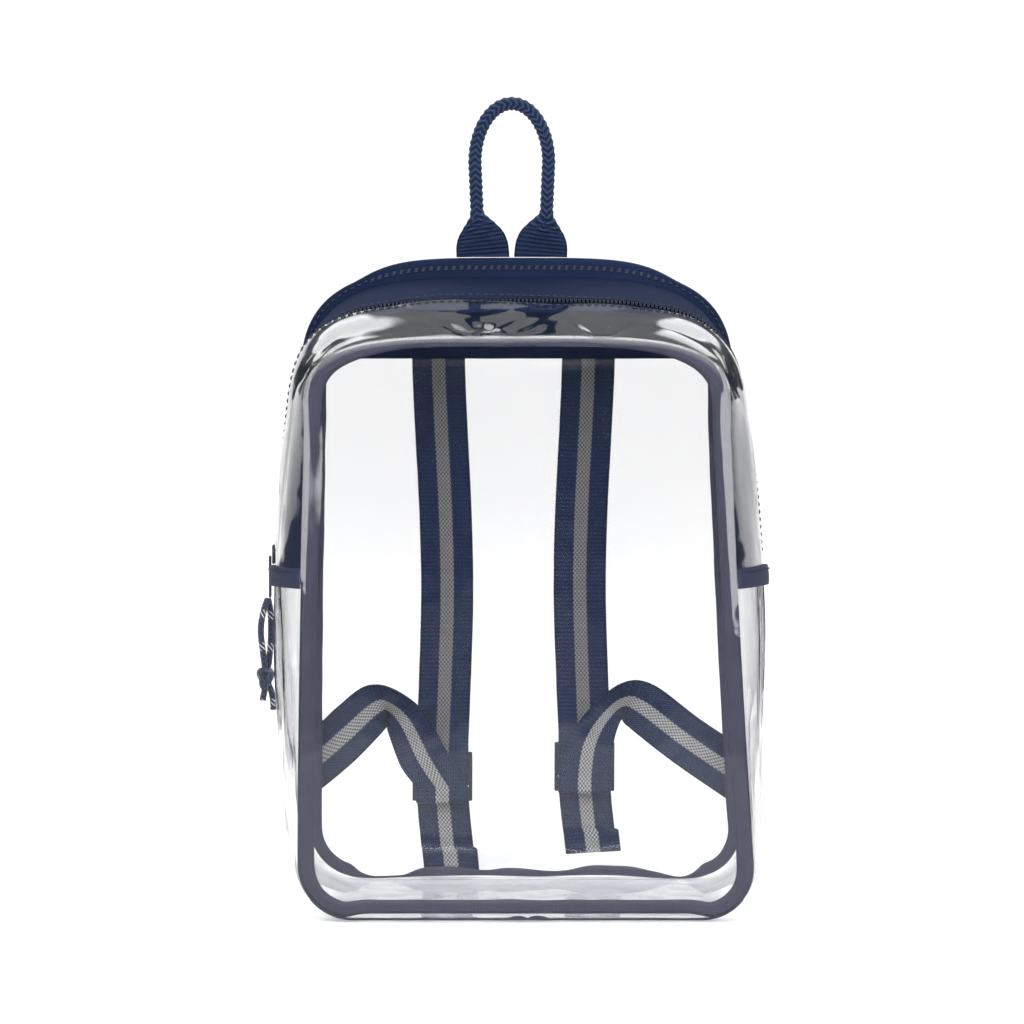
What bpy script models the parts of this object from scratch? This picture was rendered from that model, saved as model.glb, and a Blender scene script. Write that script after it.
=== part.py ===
"""A small clear backpack with a zip top, fabric trim and webbing straps, standing on its flat foot.

Metres, +Z up. The front faces -Y, +X is to the right of someone who looks at the front, and the
origin is the middle of the flat foot.
"""
import math
from collections import namedtuple

import bmesh
import bpy
from mathutils import Vector

# Main form
BAG_DEPTH = 0.100
FOOT_HALF_WIDTH = 0.1065
FOOT_CORNER = 0.026
SIDE_TOP = 0.225
FRONT_HALF_WIDTH = 0.0985
FRONT_HEIGHT = 0.2714
FRONT_SHOULDER_POWER = 4.0
BACK_HALF_WIDTH = 0.0998
BACK_HEIGHT = 0.293
BACK_SHOULDER_POWER = 3.8
SIDE_BULGE = 0.0138
BULGE_RISE = 1.0
TOP_CROWN = 0.0014
FRONT_CROWN = 0.004
BACK_CROWN = 0.002
LEAN = 0.005
YOKE_HEIGHT = 0.039
YOKE_BOTTOM = BACK_HEIGHT - YOKE_HEIGHT

# Sheet thicknesses and clearances
VINYL = 0.001
FABRIC = 0.0012
TAPE = 0.001
WEBBING = 0.0016
GAP = 0.0003
LAP_GAP = 0.0004

# Seams, bindings and zipper
BINDING_WIDTH = 0.0075
BACK_BINDING_WIDTH = 0.006
BINDING_THICKNESS = 0.0016
FLANGE_WIDTH = 0.009
FLANGE_THICKNESS = 0.003
FLANGE_FOOT = 0.215
SHOULDER_DROP = 0.013
BAND_HEIGHT = 0.1598
BAND_WIDTH = 0.0093
BAND_DROP = 0.0104
ZIP_DRIFT = 0.007
END_REACH = 0.09
ZIP_ACROSS = 0.55
ZIP_TAPE_WIDTH = 0.026
COIL_WIDTH = 0.004
COIL_HEIGHT = 0.0018
STRIP_EDGE = 0.0032

# Zip slider and its pull
SLIDER_LENGTH = 0.009
SLIDER_WIDTH = 0.0075
SLIDER_HEIGHT = 0.0022
SLIDER_LIP = 0.001
PULL_LENGTH = 0.0161
PULL_WIDTH = 0.004
PULL_THICKNESS = 0.0012
CORD_DIAMETER = 0.003

# Carry handle
HANDLE_RISE = 0.0731
HANDLE_HALF_SPAN = 0.0176
HANDLE_CENTRE = -0.0073
HANDLE_FOOT_WIDTH = 0.0254
HANDLE_FOOT_GAP = 0.0022
HANDLE_NECK_WIDTH = 0.0062
HANDLE_NECK_DEPTH = 0.0105
HANDLE_SPRING = 0.62

# Webbing straps and their buckles
STRAP_WIDTH = 0.0254
STRAP_SPACING = 0.0692
STRAP_SHIFT = -0.0065
STRAP_LAP = 0.022
STRAP_BOW = 0.013
STRAP_RETURN = 0.016
BUCKLE_STANDOFF = 0.0135
BUCKLE_BAR = 0.004
BUCKLE_SLOT = 0.006
BUCKLE_THICKNESS = 0.0032
BUCKLE_RAIL = 0.0014
BUCKLE_CLEARANCE = 0.0005
FOLD_RADIUS = 0.0015
HEM_LENGTH = 0.011
LOOP_DEPTH = 0.014

# Shares of the half outline, from the middle of the foot up to the middle of the top
FLOOR_END = 0.22
CORNER_END = 0.36
SIDE_END = 0.62

Outline = namedtuple("Outline", "foot_half side_half height power")
FRONT = Outline(FOOT_HALF_WIDTH, FRONT_HALF_WIDTH, FRONT_HEIGHT, FRONT_SHOULDER_POWER)
BACK = Outline(FOOT_HALF_WIDTH, BACK_HALF_WIDTH, BACK_HEIGHT, BACK_SHOULDER_POWER)

# A shoulder strap from the yoke's edge (drop 0) to its buckle (drop 1); spread is a share of half the
# spacing of the straps, and bow a share of STRAP_BOW
StrapRow = namedtuple("StrapRow", "drop spread bow")
STRAP_ROWS = (
    StrapRow(0.00, 1.04, 0.00),
    StrapRow(0.07, 1.03, 0.18),
    StrapRow(0.20, 1.00, 0.55),
    StrapRow(0.40, 0.95, 0.90),
    StrapRow(0.60, 0.93, 1.00),
    StrapRow(0.80, 0.96, 0.88),
)

# A lower strap from the side seam to its buckle. Along and rise are shares of the way to the buckle
# and of the loop's rise, out is a share of LOOP_DEPTH, and the other three are the width's direction,
# towards the buckle, backwards and up, as shares of the webbing's width.
LoopRow = namedtuple("LoopRow", "along rise out width_in width_back width_up")
LEFT_LOOP = (
    LoopRow(0.000, 0.00, 0.04, 0.10, 0.00, 1.35),
    LoopRow(0.250, 0.50, 0.42, -0.32, 0.00, 1.06),
    LoopRow(0.480, 0.97, 0.82, -0.37, -0.25, 0.86),
    LoopRow(0.590, 0.97, 1.00, 0.12, -0.60, 0.76),
    LoopRow(0.720, 0.70, 0.48, 0.68, -0.35, 0.50),
    LoopRow(0.860, 0.02, 0.34, 0.90, 0.00, 0.26),
)
RIGHT_LOOP = (
    LoopRow(0.000, 0.00, 0.04, 0.02, 0.00, 1.22),
    LoopRow(0.340, 0.45, 0.45, -0.48, 0.00, 0.86),
    LoopRow(0.640, 0.90, 0.85, -0.45, -0.20, 0.86),
    LoopRow(0.760, 0.95, 0.92, 0.02, -0.50, 0.76),
    LoopRow(0.880, 0.75, 0.38, 0.55, -0.12, 0.38),
    LoopRow(0.970, 0.40, 0.36, 0.90, 0.00, 0.12),
)

Side = namedtuple("Side", "name sign buckle_height anchor_height loop_rise tail_end tail_drift loop")
SIDES = (
    Side("left", -1, 0.0492, 0.0578, 0.0262, 0.0020, 0.0035, LEFT_LOOP),
    Side("right", 1, 0.0541, 0.0508, 0.0368, 0.0112, 0.0035, RIGHT_LOOP),
)

# Sections of the carry handle: share of the way up a foot, and half width and half depth as shares
# from the neck's size (0) to the flat foot's (1)
FootRow = namedtuple("FootRow", "share width depth")
HANDLE_FOOT_ROWS = (
    FootRow(0.00, 1.00, 1.00),
    FootRow(0.30, 0.97, 0.96),
    FootRow(0.55, 0.80, 0.80),
    FootRow(0.78, 0.45, 0.45),
    FootRow(1.00, 0.05, 0.05),
)

# Routes of the two strands of the pull's cord and of its cut ends, and the middle of its knot, as
# distances out of the bag, backwards and down from the end of the pull
STRAND_FRONT = (
    (0.0034, -0.0022, 0.0006),
    (0.0048, -0.0046, 0.0045),
    (0.0060, -0.0074, 0.0100),
    (0.0064, -0.0076, 0.0160),
    (0.0058, -0.0074, 0.0225),
    (0.0048, -0.0070, 0.0309),
)
STRAND_BACK = (
    (0.0034, 0.0012, 0.0006),
    (0.0028, 0.0006, 0.0060),
    (0.0026, -0.0008, 0.0120),
    (0.0026, -0.0020, 0.0190),
    (0.0028, -0.0028, 0.0250),
    (0.0030, -0.0034, 0.0309),
)
END_SHORT = ((0.0050, -0.0068, 0.0443), (0.0054, -0.0074, 0.0460), (0.0056, -0.0080, 0.0480))
END_LONG = ((0.0018, -0.0040, 0.0443), (0.0012, -0.0036, 0.0480), (0.0008, -0.0034, 0.0530))
KNOT_PLACE = (0.0045, -0.0055, 0.0374)
KNOT_WIDTH = 0.0086
KNOT_HEIGHT = 0.0123

COLOURS = {
    "clear": ((0.86, 0.88, 0.92, 1.0), 0.08, 0.3),
    "fabric": ((0.018, 0.036, 0.107, 1.0), 0.75, 1.0),
    "binding": ((0.035, 0.040, 0.100, 1.0), 0.65, 1.0),
    "webbing": ((0.016, 0.033, 0.125, 1.0), 0.70, 1.0),
    "coil": ((0.008, 0.009, 0.014, 1.0), 0.45, 1.0),
    "plastic": ((0.020, 0.024, 0.040, 1.0), 0.40, 1.0),
    "metal": ((0.030, 0.032, 0.040, 1.0), 0.35, 1.0),
    "cord": ((0.016, 0.030, 0.100, 1.0), 0.75, 1.0),
}


def material(name, kind):
    colour, roughness, alpha = COLOURS[kind]
    made = bpy.data.materials.new(name)
    made.use_nodes = True
    shader = made.node_tree.nodes["Principled BSDF"]
    shader.inputs["Base Color"].default_value = colour
    shader.inputs["Roughness"].default_value = roughness
    shader.inputs["Metallic"].default_value = 1.0 if kind == "metal" else 0.0
    shader.inputs["Alpha"].default_value = alpha
    made.diffuse_color = (*colour[:3], alpha)
    return made


def add_object(name, mesh, kind):
    item = bpy.data.objects.new(name, mesh)
    item.data.materials.append(material(name, kind))
    bpy.context.collection.objects.link(item)
    return item


def finish(shape, name, kind, smooth=True):
    """Turn the faces of a bmesh outwards and make an object of it."""
    bmesh.ops.recalc_face_normals(shape, faces=shape.faces)
    mesh = bpy.data.meshes.new(name)
    shape.to_mesh(mesh)
    shape.free()
    if smooth:
        mesh.shade_smooth()
        mesh.set_sharp_from_angle(angle=math.radians(35))
    return add_object(name, mesh, kind)


def catmull(rows, spans):
    """Points on a smooth curve through rows of numbers, spans of them between each two rows."""
    padded = [rows[0], *rows, rows[-1]]
    points = []
    for index in range(len(rows) - 1):
        before, start, end, after = (padded[index + k] for k in range(4))
        for step in range(spans):
            t = step / spans
            point = []
            for a, b, c, d in zip(before, start, end, after):
                point.append(0.5 * (
                    2 * b + (c - a) * t + (2 * a - 5 * b + 4 * c - d) * t * t
                    + (3 * b - a - 3 * c + d) * t ** 3
                ))
            points.append(tuple(point))
    points.append(tuple(rows[-1]))
    return points


# The outline and the surface of the gusset

def settle(height):
    """How far the bag leans to the left of its foot at a height."""
    share = min(max(height / BACK_HEIGHT, 0.0), 1.0)
    return -LEAN * (1 - (1 - share) ** 2)


def half_outline(shape, share):
    """The upright half outline, from the middle of the foot (0) to the middle of the top (1)."""
    floor_half = shape.foot_half - FOOT_CORNER
    if share <= FLOOR_END:
        return floor_half * share / FLOOR_END, 0.0
    if share <= CORNER_END:
        turn = (share - FLOOR_END) / (CORNER_END - FLOOR_END) * math.pi / 2
        return floor_half + FOOT_CORNER * math.sin(turn), FOOT_CORNER * (1 - math.cos(turn))
    if share <= SIDE_END:
        up = (share - CORNER_END) / (SIDE_END - CORNER_END)
        across = shape.foot_half + (shape.side_half - shape.foot_half) * up
        return across, FOOT_CORNER + (SIDE_TOP - FOOT_CORNER) * up
    way = (share - SIDE_END) / (1 - SIDE_END)
    ease = shape.power / 2
    turn = way ** ease / (way ** ease + (1 - way) ** ease) * math.pi / 2
    across = shape.side_half * max(math.cos(turn), 0.0) ** (2 / shape.power)
    return across, SIDE_TOP + (shape.height - SIDE_TOP) * math.sin(turn) ** (2 / shape.power)


def outline_point(shape, share, outset=0.0):
    """A point of the whole outline; share runs from -1 over the foot at 0 to 1, both at the top."""
    x, z = half_outline(shape, abs(share))
    x = math.copysign(x, share) + settle(z)
    if outset:
        across, up = outward(shape, share)
        return x + across * outset, z + up * outset
    return x, z


def outward(shape, share):
    step = 0.002
    ahead = outline_point(shape, min(share + step, 1.0))
    behind = outline_point(shape, max(share - step, -1.0))
    along = Vector((ahead[0] - behind[0], ahead[1] - behind[1])).normalized()
    return along.y, -along.x


def side_share(height):
    """The share of the half outline at a height on the straight side."""
    return CORNER_END + (SIDE_END - CORNER_END) * (height - FOOT_CORNER) / (SIDE_TOP - FOOT_CORNER)


def near_bands(share):
    """1 at the level of the side bands, fading to 0 above and below them."""
    away = (abs(share) - side_share(BAND_HEIGHT)) / share_of(END_REACH)
    return max(0.0, 1 - away * away) ** 2


def share_of(height):
    return (SIDE_END - CORNER_END) * height / (SIDE_TOP - FOOT_CORNER)


def gusset_point(share, across, inset=0.0):
    """A point of the gusset, from the front seam (across 0) to the back seam (across 1).

    Round the side bands the lines across it run down towards the back, and the zipper's end back.
    """
    near = near_bands(share)
    share -= math.copysign(share_of(BAND_DROP) * across * near, share)
    across += ZIP_DRIFT / BAG_DEPTH * near * math.sin(math.pi * across)
    front = Vector(outline_point(FRONT, share))
    back = Vector(outline_point(BACK, share))
    flat = front.lerp(back, across)
    out = (Vector(outward(FRONT, share)) + Vector(outward(BACK, share))).normalized()
    up = min(flat.y / BACK_HEIGHT, 1.0) ** BULGE_RISE
    puff = SIDE_BULGE * math.sin(math.pi * up) * abs(out.x)
    puff += TOP_CROWN * max(out.y, 0.0)
    flat += out * (puff * 4 * across * (1 - across) - inset)
    return Vector((flat.x, BAG_DEPTH * (across - 0.5), flat.y))


def stations(start, end, corner_steps=6, side_steps=7, top_steps=13):
    """Shares of the outline between two shares, with points at every change of its curve."""
    half = [FLOOR_END * k / 2 for k in range(2)]
    half += [FLOOR_END + (CORNER_END - FLOOR_END) * k / corner_steps for k in range(corner_steps)]
    half += [CORNER_END + (SIDE_END - CORNER_END) * k / side_steps for k in range(side_steps)]
    half += [SIDE_END + (1 - SIDE_END) * k / top_steps for k in range(top_steps + 1)]
    whole = sorted({-share for share in half} | set(half))
    margin = 0.004
    inner = [share for share in whole if start + margin < share < end - margin]
    return [start, *inner, end]


# Solids from grids and rings

def grid_solid(name, outer, inner, kind):
    """A sheet between two grids of points with the same rows and columns."""
    shape = bmesh.new()
    layers = [[[shape.verts.new(p) for p in row] for row in grid] for grid in (outer, inner)]
    rows = len(outer)
    columns = len(outer[0])
    for layer in layers:
        for r in range(rows - 1):
            for c in range(columns - 1):
                shape.faces.new((layer[r][c], layer[r][c + 1], layer[r + 1][c + 1], layer[r + 1][c]))
    top, base = layers
    for r in range(rows - 1):
        for c in (0, columns - 1):
            shape.faces.new((top[r][c], top[r + 1][c], base[r + 1][c], base[r][c]))
    for c in range(columns - 1):
        for r in (0, rows - 1):
            shape.faces.new((top[r][c], top[r][c + 1], base[r][c + 1], base[r][c]))
    return finish(shape, name, kind)


def gusset_strip(name, shares, acrosses, inset, thickness, kind):
    outer = [[gusset_point(s, v, inset) for v in acrosses] for s in shares]
    inner = [[gusset_point(s, v, inset + thickness) for v in acrosses] for s in shares]
    return grid_solid(name, outer, inner, kind)


def spread(start, end, steps):
    return [start + (end - start) * k / steps for k in range(steps + 1)]


def crowned_panel(name, boundary, near, facing, crown, thickness, kind):
    """A domed sheet inside a closed boundary of (x, z) points, its edge flat at near."""
    middle = Vector((
        sum(p[0] for p in boundary) / len(boundary),
        sum(p[1] for p in boundary) / len(boundary),
    ))
    shape = bmesh.new()
    edges = []
    for layer in (0.0, thickness):
        rings = []
        for share in (1.0, 0.86, 0.66, 0.36):
            lift = near + facing * (layer + crown * (1 - share ** 2))
            ring = []
            for x, z in boundary:
                ring.append(shape.verts.new((
                    middle.x + (x - middle.x) * share, lift, middle.y + (z - middle.y) * share
                )))
            rings.append(ring)
        centre = shape.verts.new((middle.x, near + facing * (layer + crown), middle.y))
        for ring, smaller in zip(rings, rings[1:]):
            join_rings(shape, ring, smaller)
        for k in range(len(boundary)):
            shape.faces.new((rings[-1][k], rings[-1][(k + 1) % len(boundary)], centre))
        edges.append(rings[0])
    join_rings(shape, *edges)
    return finish(shape, name, kind)


def join_rings(shape, ring, other):
    count = len(ring)
    for k in range(count):
        after = (k + 1) % count
        shape.faces.new((ring[k], ring[after], other[after], other[k]))


def clip(boundary, level, keep_below, steps=6):
    """The part of a closed boundary below or above a level, with points along the cut."""
    kept = []
    cut = []
    count = len(boundary)
    for k in range(count):
        here = boundary[k]
        after = boundary[(k + 1) % count]
        inside = (here[1] < level) == keep_below
        next_inside = (after[1] < level) == keep_below
        if inside:
            kept.append(here)
        if inside != next_inside:
            share = (level - here[1]) / (after[1] - here[1])
            point = (here[0] + (after[0] - here[0]) * share, level)
            kept.append(point)
            cut.append(len(kept) - 1)
            if len(cut) == 1 and inside or len(cut) == 2 and inside:
                leave = len(kept) - 1
    rotated = kept[leave + 1:] + kept[:leave + 1]
    start = rotated[-1]
    end = rotated[0]
    for step in range(1, steps):
        share = step / steps
        rotated.append((start[0] + (end[0] - start[0]) * share, level))
    return rotated


def ring_tape(name, shape_row, inset, width, near, far, kind):
    """A flat tape inside an outline, all round, between two depths."""
    shape = bmesh.new()
    shares = stations(-1.0, 1.0)[:-1]
    rings = []
    for depth, outset in ((near, -inset), (near, -inset - width), (far, -inset - width), (far, -inset)):
        ring = []
        for share in shares:
            x, z = outline_point(shape_row, share, outset)
            ring.append(shape.verts.new((x, depth, z)))
        rings.append(ring)
    for k in range(4):
        join_rings(shape, rings[k], rings[(k + 1) % 4])
    return finish(shape, name, kind)


def tube_solid(name, sections, kind):
    """A closed loft through sections that all have the same number of points."""
    shape = bmesh.new()
    rings = [[shape.verts.new(p) for p in section] for section in sections]
    for ring, other in zip(rings, rings[1:]):
        join_rings(shape, ring, other)
    shape.faces.new(rings[0])
    shape.faces.new(rings[-1])
    return finish(shape, name, kind)


def ribbon(name, path, kind):
    """Webbing along a path of (centre, width vector, thickness)."""
    sections = []
    for k, (centre, width, thickness) in enumerate(path):
        ahead = path[min(k + 1, len(path) - 1)][0]
        behind = path[max(k - 1, 0)][0]
        normal = (ahead - behind).cross(width).normalized() * (thickness / 2)
        half = width / 2
        sections.append((
            centre - half - normal, centre + half - normal,
            centre + half + normal, centre - half + normal,
        ))
    return tube_solid(name, sections, kind)


# The pieces

def front_panel():
    boundary = [outline_point(FRONT, share) for share in stations(-1.0, 1.0)[:-1]]
    crowned_panel("front_panel", boundary, -BAG_DEPTH / 2 - GAP, -1, FRONT_CROWN, VINYL, "clear")


def back_panels():
    boundary = [outline_point(BACK, share) for share in stations(-1.0, 1.0)[:-1]]
    near = BAG_DEPTH / 2 + GAP
    lower = clip(boundary, YOKE_BOTTOM - GAP, True)
    crowned_panel("back_panel", lower, near, 1, BACK_CROWN, VINYL, "clear")
    upper = clip(boundary, YOKE_BOTTOM, False)
    crowned_panel("back_yoke", upper, near, 1, 0.0, FABRIC, "fabric")


def gussets():
    joint = side_share(BAND_HEIGHT)
    joint_gap = side_share(BAND_HEIGHT + GAP) - joint
    foot = stations(-joint, joint)
    gusset_strip("lower_gusset", foot, spread(0, 1, 8), 0.0, VINYL, "clear")
    edge = STRIP_EDGE / BAG_DEPTH
    for side in (-1, 1):
        band = [side_share(BAND_HEIGHT + step * BAND_WIDTH / 2) for step in (-1, 0, 1)]
        shares = [side * share for share in band]
        name = f"gusset_band_{'left' if side < 0 else 'right'}"
        gusset_strip(name, shares, spread(0, 1, 10), -GAP - FABRIC, FABRIC, "binding")
    arch = arch_shares(joint + joint_gap)
    gusset_strip("front_gusset_strip", arch, spread(0, ZIP_ACROSS - edge, 5), 0.0, VINYL, "clear")
    gusset_strip("back_gusset_strip", arch, spread(ZIP_ACROSS + edge, 1, 4), 0.0, FABRIC, "fabric")
    half_tape = ZIP_TAPE_WIDTH / 2 / BAG_DEPTH
    under = FABRIC + LAP_GAP
    tape = spread(ZIP_ACROSS - half_tape, ZIP_ACROSS + half_tape, 3)
    gusset_strip("zipper_tape", arch, tape, under, TAPE, "fabric")
    half_coil = COIL_WIDTH / 2 / BAG_DEPTH
    coil = spread(ZIP_ACROSS - half_coil, ZIP_ACROSS + half_coil, 1)
    clear_of_band = arch_shares(side_share(BAND_HEIGHT + BAND_WIDTH / 2 + LAP_GAP))
    coil_inset = under - GAP - COIL_HEIGHT
    gusset_strip("zipper_coil", clear_of_band, coil, coil_inset, COIL_HEIGHT, "coil")


def arch_shares(start):
    """Shares of the outline from a point on the right side over the top to its twin on the left."""
    right = stations(start, 1.0)
    return right + [-share for share in reversed(right[:-1])]


def bindings():
    """The tapes over the raw edges of the two seams, inside the bag and behind the panels."""
    half = BAG_DEPTH / 2
    taper = (BACK_HEIGHT - FRONT_HEIGHT) / BAG_DEPTH * BINDING_THICKNESS
    front_inset = VINYL + LAP_GAP
    back_inset = FABRIC + LAP_GAP * 1.5 + taper
    front_far = -half + BINDING_THICKNESS
    ring_tape("front_binding", FRONT, front_inset, BINDING_WIDTH, -half, front_far, "binding")
    back_near = half - BINDING_THICKNESS
    ring_tape("back_binding", BACK, back_inset, BACK_BINDING_WIDTH, back_near, half, "binding")


def eased(low, high, value):
    share = min(max((value - low) / (high - low), 0.0), 1.0)
    return share * share * (3 - 2 * share)


def flange_width(height):
    """The flange is full over the top, about half as wide at the shoulders, and narrower at its ends."""
    side = eased(FLANGE_FOOT, BACK_HEIGHT - SHOULDER_DROP, height)
    top = eased(BACK_HEIGHT - SHOULDER_DROP * 0.6, BACK_HEIGHT, height)
    return FLANGE_WIDTH * (0.35 + 0.20 * side + 0.45 * top)


def flange_y():
    return BAG_DEPTH / 2 + GAP + FLANGE_THICKNESS / 2


def top_flange():
    """The stitched edge that stands up round the top of the back, outside the seam."""
    sections = []
    for share in arch_shares(side_share(FLANGE_FOOT)):
        z = outline_point(BACK, share)[1]
        section = []
        for depth, outset in ((-1, 0.0), (-1, 1.0), (1, 1.0), (1, 0.0)):
            x, up = outline_point(BACK, share, GAP + flange_width(z) * outset)
            section.append((x, flange_y() + depth * FLANGE_THICKNESS / 2, up))
        sections.append(section)
    tube_solid("top_flange", sections, "fabric")


def handle_path():
    """Centres and section sizes of the carry handle, from its left foot over to its right."""
    spring = HANDLE_RISE * HANDLE_SPRING
    neck = HANDLE_RISE * 0.27
    rows = []
    foot_x = (HANDLE_FOOT_WIDTH + HANDLE_FOOT_GAP) / 2
    for row in HANDLE_FOOT_ROWS:
        out = foot_x + (HANDLE_HALF_SPAN * 0.94 - foot_x) * row.share ** 1.5
        wide = HANDLE_NECK_WIDTH + (HANDLE_FOOT_WIDTH - HANDLE_NECK_WIDTH) * row.width
        deep = HANDLE_NECK_DEPTH + (WEBBING - HANDLE_NECK_DEPTH) * row.depth
        rows.append((out, neck * row.share, wide, deep))
    for share in (0.35, 0.7):
        out = HANDLE_HALF_SPAN * (0.94 + 0.06 * share)
        rows.append((out, neck + (spring - neck) * share, HANDLE_NECK_WIDTH, HANDLE_NECK_DEPTH))
    for step in range(7):
        turn = math.pi / 2 * step / 6
        out = HANDLE_HALF_SPAN * math.cos(turn)
        up = spring + (HANDLE_RISE - spring) * math.sin(turn)
        rows.append((out, up, HANDLE_NECK_WIDTH, HANDLE_NECK_DEPTH))
    left = [(-out, up, wide, deep) for out, up, wide, deep in rows]
    return left + [row for row in reversed(rows[:-1])]


def carry_handle():
    base = BACK_HEIGHT + FLANGE_WIDTH + GAP * 2
    rows = handle_path()
    sections = []
    for k, (out, up, wide, deep) in enumerate(rows):
        ahead = rows[min(k + 1, len(rows) - 1)]
        behind = rows[max(k - 1, 0)]
        along = Vector((ahead[0] - behind[0], 0, ahead[1] - behind[1])).normalized()
        if k in (0, len(rows) - 1):
            along = Vector((0, 0, 1 if k == 0 else -1))
        across = along.cross(Vector((0, 1, 0)))
        centre = Vector((HANDLE_CENTRE + out, flange_y(), base + up))
        section = []
        for step in range(10):
            turn = 2 * math.pi * (step + 0.5) / 10
            cos, sin = math.cos(turn), math.sin(turn)
            round_x = math.copysign(abs(cos) ** 0.7, cos)
            round_y = math.copysign(abs(sin) ** 0.7, sin)
            section.append(centre + across * (round_x * wide / 2) + Vector((0, round_y * deep / 2, 0)))
        sections.append(section)
    tube_solid("carry_handle", sections, "webbing")


def strap_x(side, spread_share=1.0):
    return STRAP_SHIFT + side.sign * STRAP_SPACING / 2 * spread_share


def buckle_y():
    return BAG_DEPTH / 2 + BUCKLE_STANDOFF


def bar_offset():
    """From the buckle's middle plane to the middle of webbing that lies on a bar."""
    return BUCKLE_THICKNESS / 2 + BUCKLE_CLEARANCE + WEBBING / 2


def buckle_height():
    return 3 * BUCKLE_BAR + 2 * BUCKLE_SLOT


def arc_points(x, middle_y, middle_z, radius, start, end, steps):
    """Points on an arc in a plane across X; angles are from +Y towards +Z."""
    points = []
    for step in range(steps + 1):
        turn = math.radians(start + (end - start) * step / steps)
        points.append(Vector((x, middle_y + radius * math.cos(turn), middle_z + radius * math.sin(turn))))
    return points


def shoulder_strap(side):
    rest = BAG_DEPTH / 2 + GAP * 2 + FABRIC + WEBBING / 2
    top_bar = side.buckle_height + buckle_height() / 2 - BUCKLE_BAR
    low = top_bar + BUCKLE_BAR
    near = buckle_y() - bar_offset()
    rows = []
    for row in STRAP_ROWS:
        z = YOKE_BOTTOM + (low - YOKE_BOTTOM) * row.drop
        rows.append((strap_x(side, row.spread), rest + STRAP_BOW * row.bow, z))
    rows.append((strap_x(side), near, low + BUCKLE_BAR))
    x = strap_x(side)
    points = [Vector((rows[0][0], rest, YOKE_BOTTOM + STRAP_LAP))]
    points += [Vector(point) for point in catmull(rows, 3)]
    points += arc_points(x, buckle_y(), top_bar + BUCKLE_BAR * 0.2, bar_offset(), 180, 360, 6)
    points.append(Vector((x, buckle_y() + bar_offset(), low + STRAP_RETURN)))
    width = Vector((STRAP_WIDTH, 0, 0))
    ribbon(f"shoulder_strap_{side.name}", [(point, width, WEBBING) for point in points], "webbing")


def lower_strap(side):
    anchor_x = side.sign * (FOOT_HALF_WIDTH - FOOT_CORNER * 0.12)
    buckle_x = strap_x(side)
    bottom = side.buckle_height - buckle_height() / 2
    near = buckle_y() - bar_offset()
    leg = near - 2 * FOLD_RADIUS
    plane = BAG_DEPTH / 2 + GAP * 2 + VINYL + WEBBING / 2
    rows = []
    for row in side.loop:
        x = anchor_x + (buckle_x - anchor_x) * row.along
        y = plane + LOOP_DEPTH * row.out
        z = side.anchor_height + side.loop_rise * row.rise
        in_x = -side.sign * row.width_in
        rows.append((x, y, z, in_x, row.width_back, row.width_up))
    fold_z = bottom + BUCKLE_BAR * 0.4
    rows.append((buckle_x, leg, fold_z + BUCKLE_BAR * 1.5, -side.sign, 0.0, 0.0))
    path = []
    for x, y, z, in_x, back, up in catmull(rows, 4):
        path.append((Vector((x, y, z)), Vector((in_x, back, up)) * STRAP_WIDTH, WEBBING))
    width = Vector((-side.sign * STRAP_WIDTH, 0, 0))
    fold = arc_points(buckle_x, near - FOLD_RADIUS, fold_z, FOLD_RADIUS, 180, 360, 6)
    over = arc_points(
        buckle_x, buckle_y(), bottom + BUCKLE_BAR * 0.8, bar_offset(), 180, 0, 6
    )
    path += [(point, width, WEBBING) for point in fold + over]
    path += tail(side, Vector((buckle_x, buckle_y() + bar_offset(), bottom)), width)
    ribbon(f"lower_strap_{side.name}", path, "webbing")


def tail(side, top, width):
    """The free end below the buckle, its last stretch folded double into a hem."""
    drift = Vector((side.tail_drift, 0, 0))
    end = Vector((top.x, top.y, side.tail_end)) + drift
    hem = HEM_LENGTH / (top.z - side.tail_end)
    rows = []
    for share, layers in ((0.25, 1), (1 - hem - 0.03, 1), (1 - hem, 2.1), (1.0, 2.1)):
        rows.append((top.lerp(end, share), width, WEBBING * layers))
    return rows


def box(name, low, high, kind):
    """An upright box between two corners."""
    shape = bmesh.new()
    bmesh.ops.create_cube(shape, size=1.0)
    for vertex in shape.verts:
        vertex.co = Vector(
            low[k] + (high[k] - low[k]) * (vertex.co[k] + 0.5) for k in range(3)
        )
    return finish(shape, name, kind, smooth=False)


def ladder_lock(side):
    x = strap_x(side)
    half_slot = STRAP_WIDTH / 2 + BUCKLE_CLEARANCE
    half_width = half_slot + BUCKLE_RAIL
    half_depth = BUCKLE_THICKNESS / 2
    bottom = side.buckle_height - buckle_height() / 2
    y = buckle_y()
    low = (x - half_width, y - half_depth, bottom)
    high = (x + half_width, y + half_depth, bottom + buckle_height())
    frame = box(f"ladder_lock_{side.name}", low, high, "plastic")
    edge = frame.modifiers.new("rounded edges", "BEVEL")
    edge.width = BUCKLE_BAR * 0.15
    edge.segments = 2
    for index in range(2):
        slot_bottom = bottom + BUCKLE_BAR + index * (BUCKLE_BAR + BUCKLE_SLOT)
        cutter = box(
            f"slot_cutter_{side.name}_{index}",
            (x - half_slot, y - BUCKLE_THICKNESS, slot_bottom),
            (x + half_slot, y + BUCKLE_THICKNESS, slot_bottom + BUCKLE_SLOT),
            "plastic",
        )
        cutter.hide_render = True
        cutter.display_type = "WIRE"
        cut = frame.modifiers.new(f"slot {index}", "BOOLEAN")
        cut.object = cutter
        cut.operation = "DIFFERENCE"


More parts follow.
